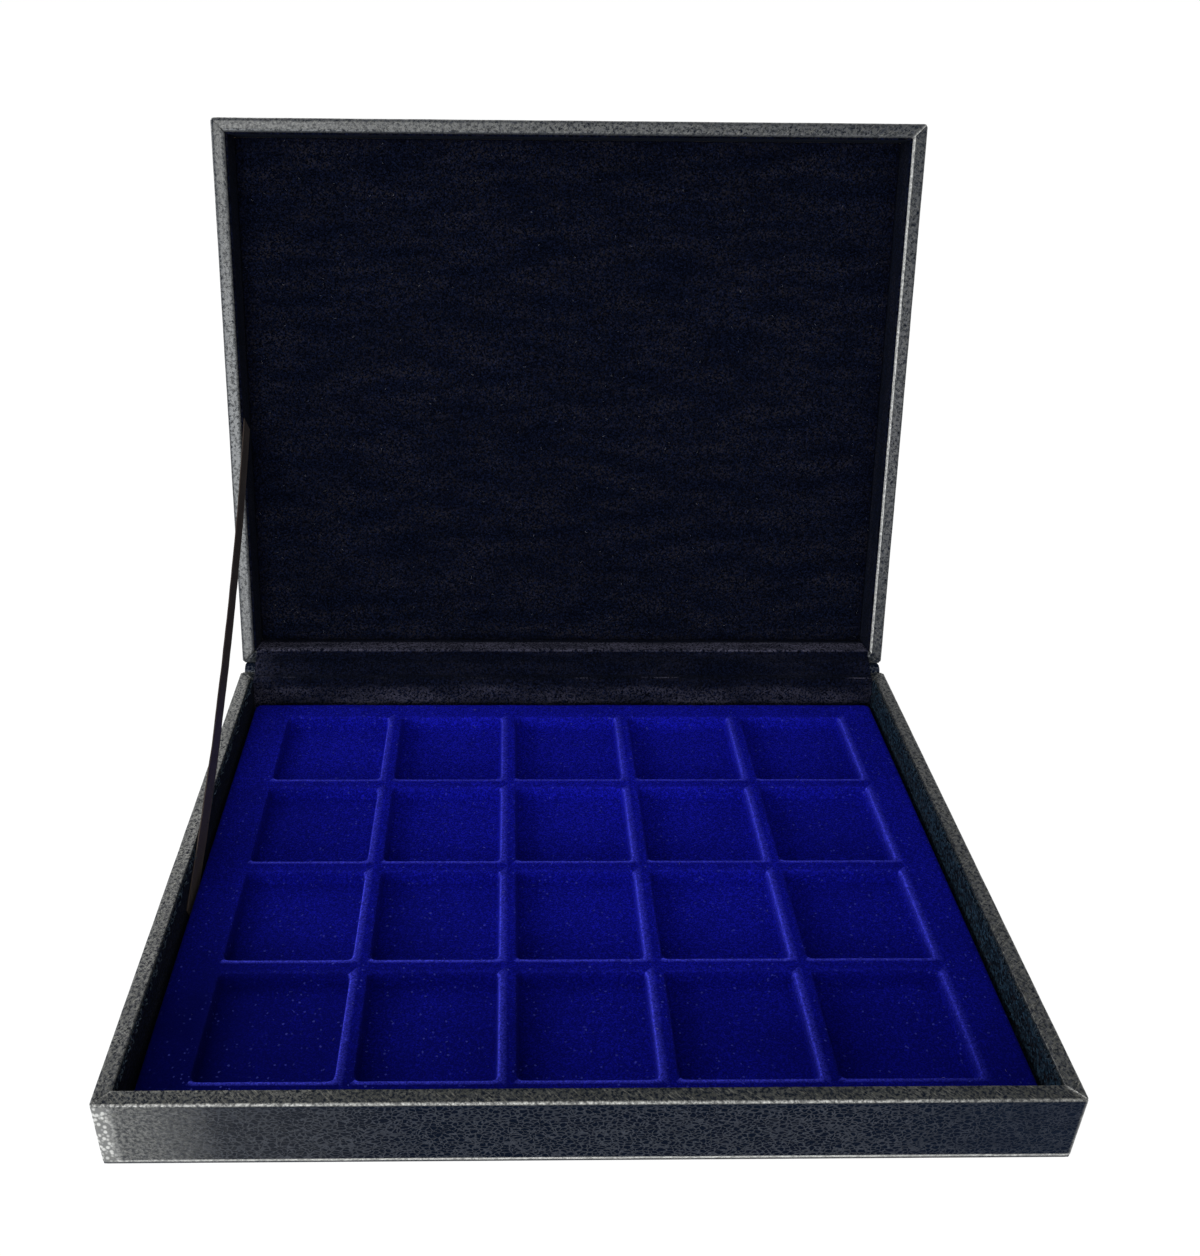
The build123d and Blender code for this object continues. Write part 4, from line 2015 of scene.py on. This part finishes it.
    def _border(
        self, tree: GeometryTree, block: Sock, half_x: Sock, half_y: Sock, low: Vector, high: Vector
    ) -> Sock:
        """Grows the block of pockets out to the tray's lip and down its skirt, ring by ring.

        Args:
            tree: The node tree.
            block: The pockets.
            half_x: Half of the block's width.
            half_y: Half of its length.
            low: The tray's lowest corner.
            high: The tray's highest corner.

        Returns:
            The whole shell.
        """
        seat, kind = "seat", "FLOAT_VECTOR"
        block = self._store(tree, block, seat, tree.out("GeometryNodeInputPosition", 0), kind)
        start = tree.out("GeometryNodeInputNamedAttribute", 0, {"data_type": kind}, {"Name": seat})
        seat_x, seat_y, _ = tree.split(start)
        faces = tree.out("GeometryNodeInputMeshEdgeNeighbors", 0)
        equal = {"data_type": "INT", "operation": "EQUAL"}
        border = tree.out("FunctionNodeCompare", 0, equal, {"A_INT": faces, "B_INT": 1})
        top_x = (high.x - low.x) / 2 - self.skirt
        top_y = (high.y - low.y) / 2 - self.skirt
        shift = (high.y + low.y) / 2 - self._middle(low)
        drop = high.z - low.z
        lip = self.outer_lip
        profile = [(inset, 0.0) for inset in self.border_steps]
        profile += arc((lip, -lip), lip, 90, 180, 5)
        profile += [(-self.skirt * share, -lip - (drop - lip) * share) for share in self.skirt_steps]
        for inset, height in profile:
            edges = {"Mesh": block, "Selection": border, "Offset Scale": 0.0}
            made = tree.node("GeometryNodeExtrudeMesh", {"mode": "EDGES"}, edges)
            border = Sock(tree, made.outputs["Top"])
            wide, deep = top_x - inset, top_y - inset
            radius = max(self.outer_corner - inset, self.least_corner)
            x, y = seat_x / half_x * wide, seat_y / half_y * deep
            spot = self._rounded(tree, x, y, wide, deep, radius)
            spot = tree.vector("ADD", spot, (0.0, shift, height))
            moved = {"Geometry": Sock(tree, made.outputs["Mesh"]), "Selection": border, "Position": spot}
            block = tree.out("GeometryNodeSetPosition", 0, inputs=moved)
        return block

    def _settle(self, tree: GeometryTree, shell: Sock, low: Vector, high: Vector) -> Sock:
        """Moves the tray to its place and makes its faces a little uneven.

        Args:
            tree: The node tree.
            shell: The shell.
            low: The tray's lowest corner.
            high: The tray's highest corner.

        Returns:
            The shell in its place.
        """
        place = tree.out("GeometryNodeInputPosition", 0)
        wave = tree.noise(place, self.waves_per_metre, 2.0)
        fuzz = tree.noise(place, self.fuzz_per_metre, 1.0)
        lift = (wave - 0.5) * self.wave + (fuzz - 0.5) * self.fuzz
        spot = tree.vector("ADD", place, tree.join(0.0, self._middle(low), lift + high.z))
        return tree.out("GeometryNodeSetPosition", 0, inputs={"Geometry": shell, "Position": spot})


@dataclass
class Scatter:
    """Lint fibres strewn over the seen faces of a piece."""

    name: str
    carrier: Piece
    facing: Vector
    per_square_metre: float
    finish: Material
    seed: int
    length: float = 1.1 * MM
    thickness: float = 0.05 * MM
    leans: tuple[Place, Place] = ((0.0, 0.0, 0.0), (0.35, 0.35, math.tau))
    sizes: Point = (0.35, 1.6)
    least_facing: float = 0.6

    def build(self) -> Piece:
        """Makes one mesh of all the fibres on the piece.

        Returns:
            The fibres.
        """
        tree = GeometryTree(self.name)
        density = tree.input("Density", "Float", self.per_square_metre)
        length = tree.input("Length", "Float", self.length)
        thickness = tree.input("Thickness", "Float", self.thickness)
        seed = tree.input("Seed", "Int", self.seed)
        dust = tree.input("Lint", "Material", self.finish)
        carrier = Sock(tree, tree.start.outputs["Geometry"])
        normal = tree.out("GeometryNodeInputNormal", 0)
        dot = {"operation": "DOT_PRODUCT"}
        facing = tree.out("ShaderNodeVectorMath", "Value", dot, {0: normal, 1: self.facing})
        above = {"data_type": "FLOAT", "operation": "GREATER_THAN"}
        seen = tree.out("FunctionNodeCompare", 0, above, {"A": facing, "B": self.least_facing})
        spots = tree.node(
            "GeometryNodeDistributePointsOnFaces",
            {"distribute_method": "RANDOM"},
            {"Mesh": carrier, "Selection": seen, "Density": density, "Seed": seed},
        )
        least, most = self.leans
        spin = tree.out(
            "FunctionNodeRandomValue", "Value", {"data_type": "FLOAT_VECTOR"},
            {"Min": least, "Max": most, "Seed": seed + 1},
        )
        smallest, largest = self.sizes
        size = tree.out(
            "FunctionNodeRandomValue", "Value_001", {"data_type": "FLOAT"},
            {"Min_001": smallest, "Max_001": largest, "Seed": seed + 2},
        )
        turn = tree.out("FunctionNodeEulerToRotation", 0, inputs={0: spin})
        turned = tree.out(
            "FunctionNodeRotateRotation", 0, {"rotation_space": "LOCAL"},
            {"Rotation": Sock(tree, spots.outputs["Rotation"]), "Rotate By": turn},
        )
        fibres = {
            "Points": Sock(tree, spots.outputs["Points"]),
            "Instance": self._fibre(tree, length, thickness),
            "Rotation": turned,
            "Scale": size,
        }
        strewn = tree.finished(tree.out("GeometryNodeInstanceOnPoints", 0, inputs=fibres), dust)
        source = add_object(self.name, self.carrier.data.copy())
        source.data = tree.run(source, strewn)
        report(source)
        return source

    @staticmethod
    def _fibre(tree: GeometryTree, length: Sock, thickness: Sock) -> Sock:
        """Draws one short curved fibre.

        Args:
            tree: The node tree.
            length: Its length.
            thickness: Its thickness.

        Returns:
            The fibre's mesh.
        """
        half = length * 0.5
        curve = tree.out(
            "GeometryNodeCurvePrimitiveBezierSegment", 0,
            inputs={
                "Resolution": 4,
                "Start": tree.join(0.0 - half, 0.0, thickness),
                "Start Handle": tree.join(0.0 - half * 0.3, half * 0.7, thickness * 2.0),
                "End Handle": tree.join(half * 0.4, 0.0 - half * 0.4, thickness * 3.0),
                "End": tree.join(half, half * 0.2, thickness),
            },
        )
        circle = {"Resolution": 3, "Radius": thickness * 0.5}
        ring = tree.out("GeometryNodeCurvePrimitiveCircle", 0, inputs=circle)
        tube = {"Curve": curve, "Profile Curve": ring, "Fill Caps": True}
        return tree.out("GeometryNodeCurveToMesh", 0, inputs=tube)


@dataclass(frozen=True)
class Softbox:
    """One soft light, its brightness given as the radiance of its face."""

    name: str
    place: Place
    size: Point
    radiance: float
    tint: Colour = (1.0, 1.0, 1.0)
    aim: Place = (0.0, 0.05, 0.08)

    def build(self) -> None:
        """Hangs the light and turns it to its aim."""
        data = bpy.data.lights.new(self.name, "AREA")
        data.shape = "RECTANGLE"
        data.size, data.size_y = self.size
        data.energy = self.radiance * math.pi * self.size[0] * self.size[1]
        data.color = self.tint
        lamp = add_object(self.name, data)
        way = Vector(self.aim) - Vector(self.place)
        lamp.matrix_world = Matrix.Translation(self.place) @ way.to_track_quat("-Z", "Y").to_matrix().to_4x4()
        lamp.visible_camera = False


@dataclass
class Studio:
    """Camera, soft lights, white surroundings and floor."""

    place: Vector = field(default_factory=lambda: Vector((-0.02809, -0.41189, 0.37998)))
    looks_at: Vector = field(default_factory=lambda: Vector((-0.01433, 0.20523, 0.0302)))
    roll: float = 0.734
    lens: float = 35.405
    shift_x: float = 0.0523
    shift_y: float = -0.0185
    surroundings: float = 0.16
    floor_share: float = 0.08
    floor_colour: Colour = (0.58, 0.61, 0.66)
    floor_reach: float = 25.0
    sky: Colour = (0.9, 0.94, 1.0)
    white: Colour = (1.0, 1.0, 1.0)
    sensor: float = 36.0
    clipping: Point = (0.01, 60.0)
    lights: tuple[Softbox, ...] = (
        Softbox("back_left_window", (-0.85, 1.25, 1.15), (1.2, 0.9), 3.4, (1.0, 0.99, 0.95)),
        Softbox("left_window", (-1.6, 0.1, 0.7), (1.2, 0.7), 6.0, (0.95, 0.98, 1.0)),
        Softbox("front_left_window", (-0.7, -1.75, 0.33), (1.1, 0.6), 9.5, (0.93, 0.97, 1.0)),
        Softbox("front_window", (0.1, -1.9, 0.8), (0.9, 0.6), 4.0, (1.0, 1.0, 0.93)),
        Softbox("front_right_window", (0.8, -1.75, 0.35), (0.8, 0.6), 3.0, (0.97, 0.98, 1.0)),
        Softbox("ceiling", (0.0, 0.2, 1.7), (1.5, 1.2), 0.8),
    )

    def camera(self) -> None:
        """Sets the camera that the photograph was fitted with."""
        data = bpy.data.cameras.new("camera")
        data.lens = self.lens
        data.sensor_fit = "AUTO"
        data.sensor_width = self.sensor
        data.shift_x, data.shift_y = self.shift_x, self.shift_y
        data.clip_start, data.clip_end = self.clipping
        camera = add_object("camera", data)
        way = (self.looks_at - self.place).to_track_quat("-Z", "Y")
        turn = way.to_matrix().to_4x4() @ Matrix.Rotation(math.radians(self.roll), 4, "Z")
        camera.matrix_world = Matrix.Translation(self.place) @ turn
        bpy.context.scene.camera = camera

    @staticmethod
    def _seen(graph: NodeGraph) -> Sock:
        """1 for what the camera sees, straight or in a gloss.

        Args:
            graph: The node tree.

        Returns:
            The value.
        """
        path = graph.node("ShaderNodeLightPath")
        rays = ("Is Camera Ray", "Is Glossy Ray", "Is Transmission Ray")
        straight, glossy, through = (Sock(graph, path.outputs[name]) for name in rays)
        return straight.at_least(glossy).at_least(through)

    def world(self) -> None:
        """Makes surroundings that look white and light the box softly."""
        world = bpy.data.worlds.new("surroundings")
        world.use_nodes = True
        world.node_tree.nodes.clear()
        graph = NodeGraph(world.node_tree)
        seen = self._seen(graph)
        strength = self.surroundings + seen * (1.0 - self.surroundings)
        colour = graph.mix(seen, self.sky, self.white)
        light = graph.node("ShaderNodeBackground", inputs={"Color": colour, "Strength": strength})
        graph.node("ShaderNodeOutputWorld", inputs={"Surface": light.outputs[0]})
        bpy.context.scene.world = world

    def floor(self) -> None:
        """Lays the pale floor, white to the camera with a trace of the box's shadow."""
        data = bpy.data.meshes.new("floor")
        reach = self.floor_reach
        corners = [(x * reach, y * reach, 0) for x, y in ((-1, -1), (1, -1), (1, 1), (-1, 1))]
        data.from_pydata(corners, [], [(0, 1, 2, 3)])
        floor = add_object("floor", data)
        graph = ShaderGraph("floor")
        seen = self._seen(graph)
        matt = graph.node("ShaderNodeBsdfDiffuse", inputs={"Color": graph.opaque(self.floor_colour)})
        light = {"Color": graph.opaque(self.white), "Strength": 1.0 / (1.0 - self.floor_share)}
        glow = graph.node("ShaderNodeEmission", inputs=light)
        share = seen * (1.0 - self.floor_share)
        mixed = graph.node("ShaderNodeMixShader", inputs={0: share, 1: matt.outputs[0], 2: glow.outputs[0]})
        graph.node("ShaderNodeOutputMaterial", inputs={"Surface": mixed.outputs[0]})
        data.materials.append(graph.material)

    def build(self) -> None:
        """Sets up the whole studio."""
        self.camera()
        self.world()
        self.floor()
        for light in self.lights:
            light.build()
        bpy.context.scene.view_settings.view_transform = "Standard"
        LOG.info("studio ready")


@dataclass
class CoinBox:
    """The whole object: finishes first, then each sub-assembly."""

    case: Case

    def build(self) -> None:
        """Makes every piece and dresses the nodes that stay."""
        leatherette = Leatherette().material()
        velvet = Velvet().material()
        # a paler copy of the velvet for the base's right lining, which faces the light from the left: painted
        # light
        lit_wall_velvet = Velvet(name="velvet_wall", lit=(0.026, 0.06, 0.098), grain=1.0).material()
        dust_bands = (
            DustBand(44 * MM, 56 * MM, 1.5),
            DustBand(43.2 * MM, 44.2 * MM, 0.3),
            DustBand(26 * MM, 27.2 * MM, 4.0, least=-0.55),
            DustBand(4 * MM, 22 * MM, 0.24),
        )
        hinge_velvet = Velvet(
            name="velvet_dusty", dust=(0.13, 0.125, 0.185), dust_share=0.07, sparse=0.1, bands=dust_bands,
            left_end=-self.case.half_x + 9 * MM, left_dust=0.15,
        ).material()
        flock = Flock().material()
        satin = Satin().material()
        lint = Lint().material()
        paper = Leatherette(
            name="underside_paper", pit_along=0.6 * MM, pit_across=0.6 * MM, grain_depth=0.05 * MM, gloss=0.2
        ).material()
        wood = FibreBoard().material()
        card = FibreBoard(
            name="grey_card", dark=(0.2, 0.19, 0.18), pale=(0.36, 0.35, 0.33), grain_depth=0.04 * MM
        ).material()

        linings = {}
        for half in Half:
            WrappedRim(self.case, half, leatherette).build()
            right = velvet if half is Half.LID else lit_wall_velvet
            linings[half] = Linings(self.case, half, velvet, right).build()
        self._raise_pile(linings[Half.BASE][1:])
        LidTop(self.case, leatherette).build()
        FloorAndUnderside(self.case, velvet, paper).build()
        pad = LidPad(self.case, velvet).build()
        Hinge(self.case, leatherette, hinge_velvet).build()
        StayRibbon(self.case, satin).build()
        tray = CoinTray(self.case, flock).build()
        self._strew(pad, tray, lint)
        self._dress(wood, card)

    def _strew(self, pad: Piece, tray: Piece, lint: Material) -> None:
        """Strews lint over the velvet and the flock.

        Args:
            pad: The lid's pad.
            tray: The coin tray.
            lint: Finish of the fibres.
        """
        out_of_lid = self.case.lid_place.to_3x3() @ Vector((0, 0, -1))
        on_pad = Scatter("lint_on_pad", pad, out_of_lid, 5200.0, lint, 11, length=0.8 * MM).build()
        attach(on_pad, "lid")
        on_tray = Scatter("lint_on_tray", tray, Vector((0, 0, 1)), 800.0, lint, 23, length=0.7 * MM).build()
        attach(on_tray, "tray")

    @staticmethod
    def _raise_pile(linings: list[Piece]) -> None:
        """Frays the top edges of the base's two side linings with upright pile.

        Args:
            linings: The side linings.
        """
        fibre = Lint(name="pile", tint=(0.012, 0.032, 0.055)).material()
        upright = ((-0.25, -1.85, 0.0), (0.25, -1.3, math.tau))
        for number, lining in enumerate(linings):
            name = lining.name.replace("velvet", "pile")
            pile = Scatter(
                name, lining, Vector((0, 0, 1)), 3.0e6, fibre, 31 + number,
                length=1.9 * MM, thickness=0.22 * MM, leans=upright,
            ).build()
            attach(pile, "base")

    def _dress(self, wood: Material, card: Material) -> None:
        """Gives the boards and cards inside their own finish.

        Args:
            wood: Finish of the boards and strips.
            card: Finish of the card.
        """
        for name, node in frame["nodes"].items():
            if node.hide_render:
                continue
            node.data.materials.clear()
            node.data.materials.append(card if name.endswith("_card") else wood)
            LOG.info("%s dressed", name)


def main() -> None:
    """Builds the scene in order."""
    logging.basicConfig(level=logging.INFO, format="%(message)s")
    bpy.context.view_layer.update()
    CoinBox(read_case()).build()
    Studio().build()


if __name__ == "__main__":
    main()
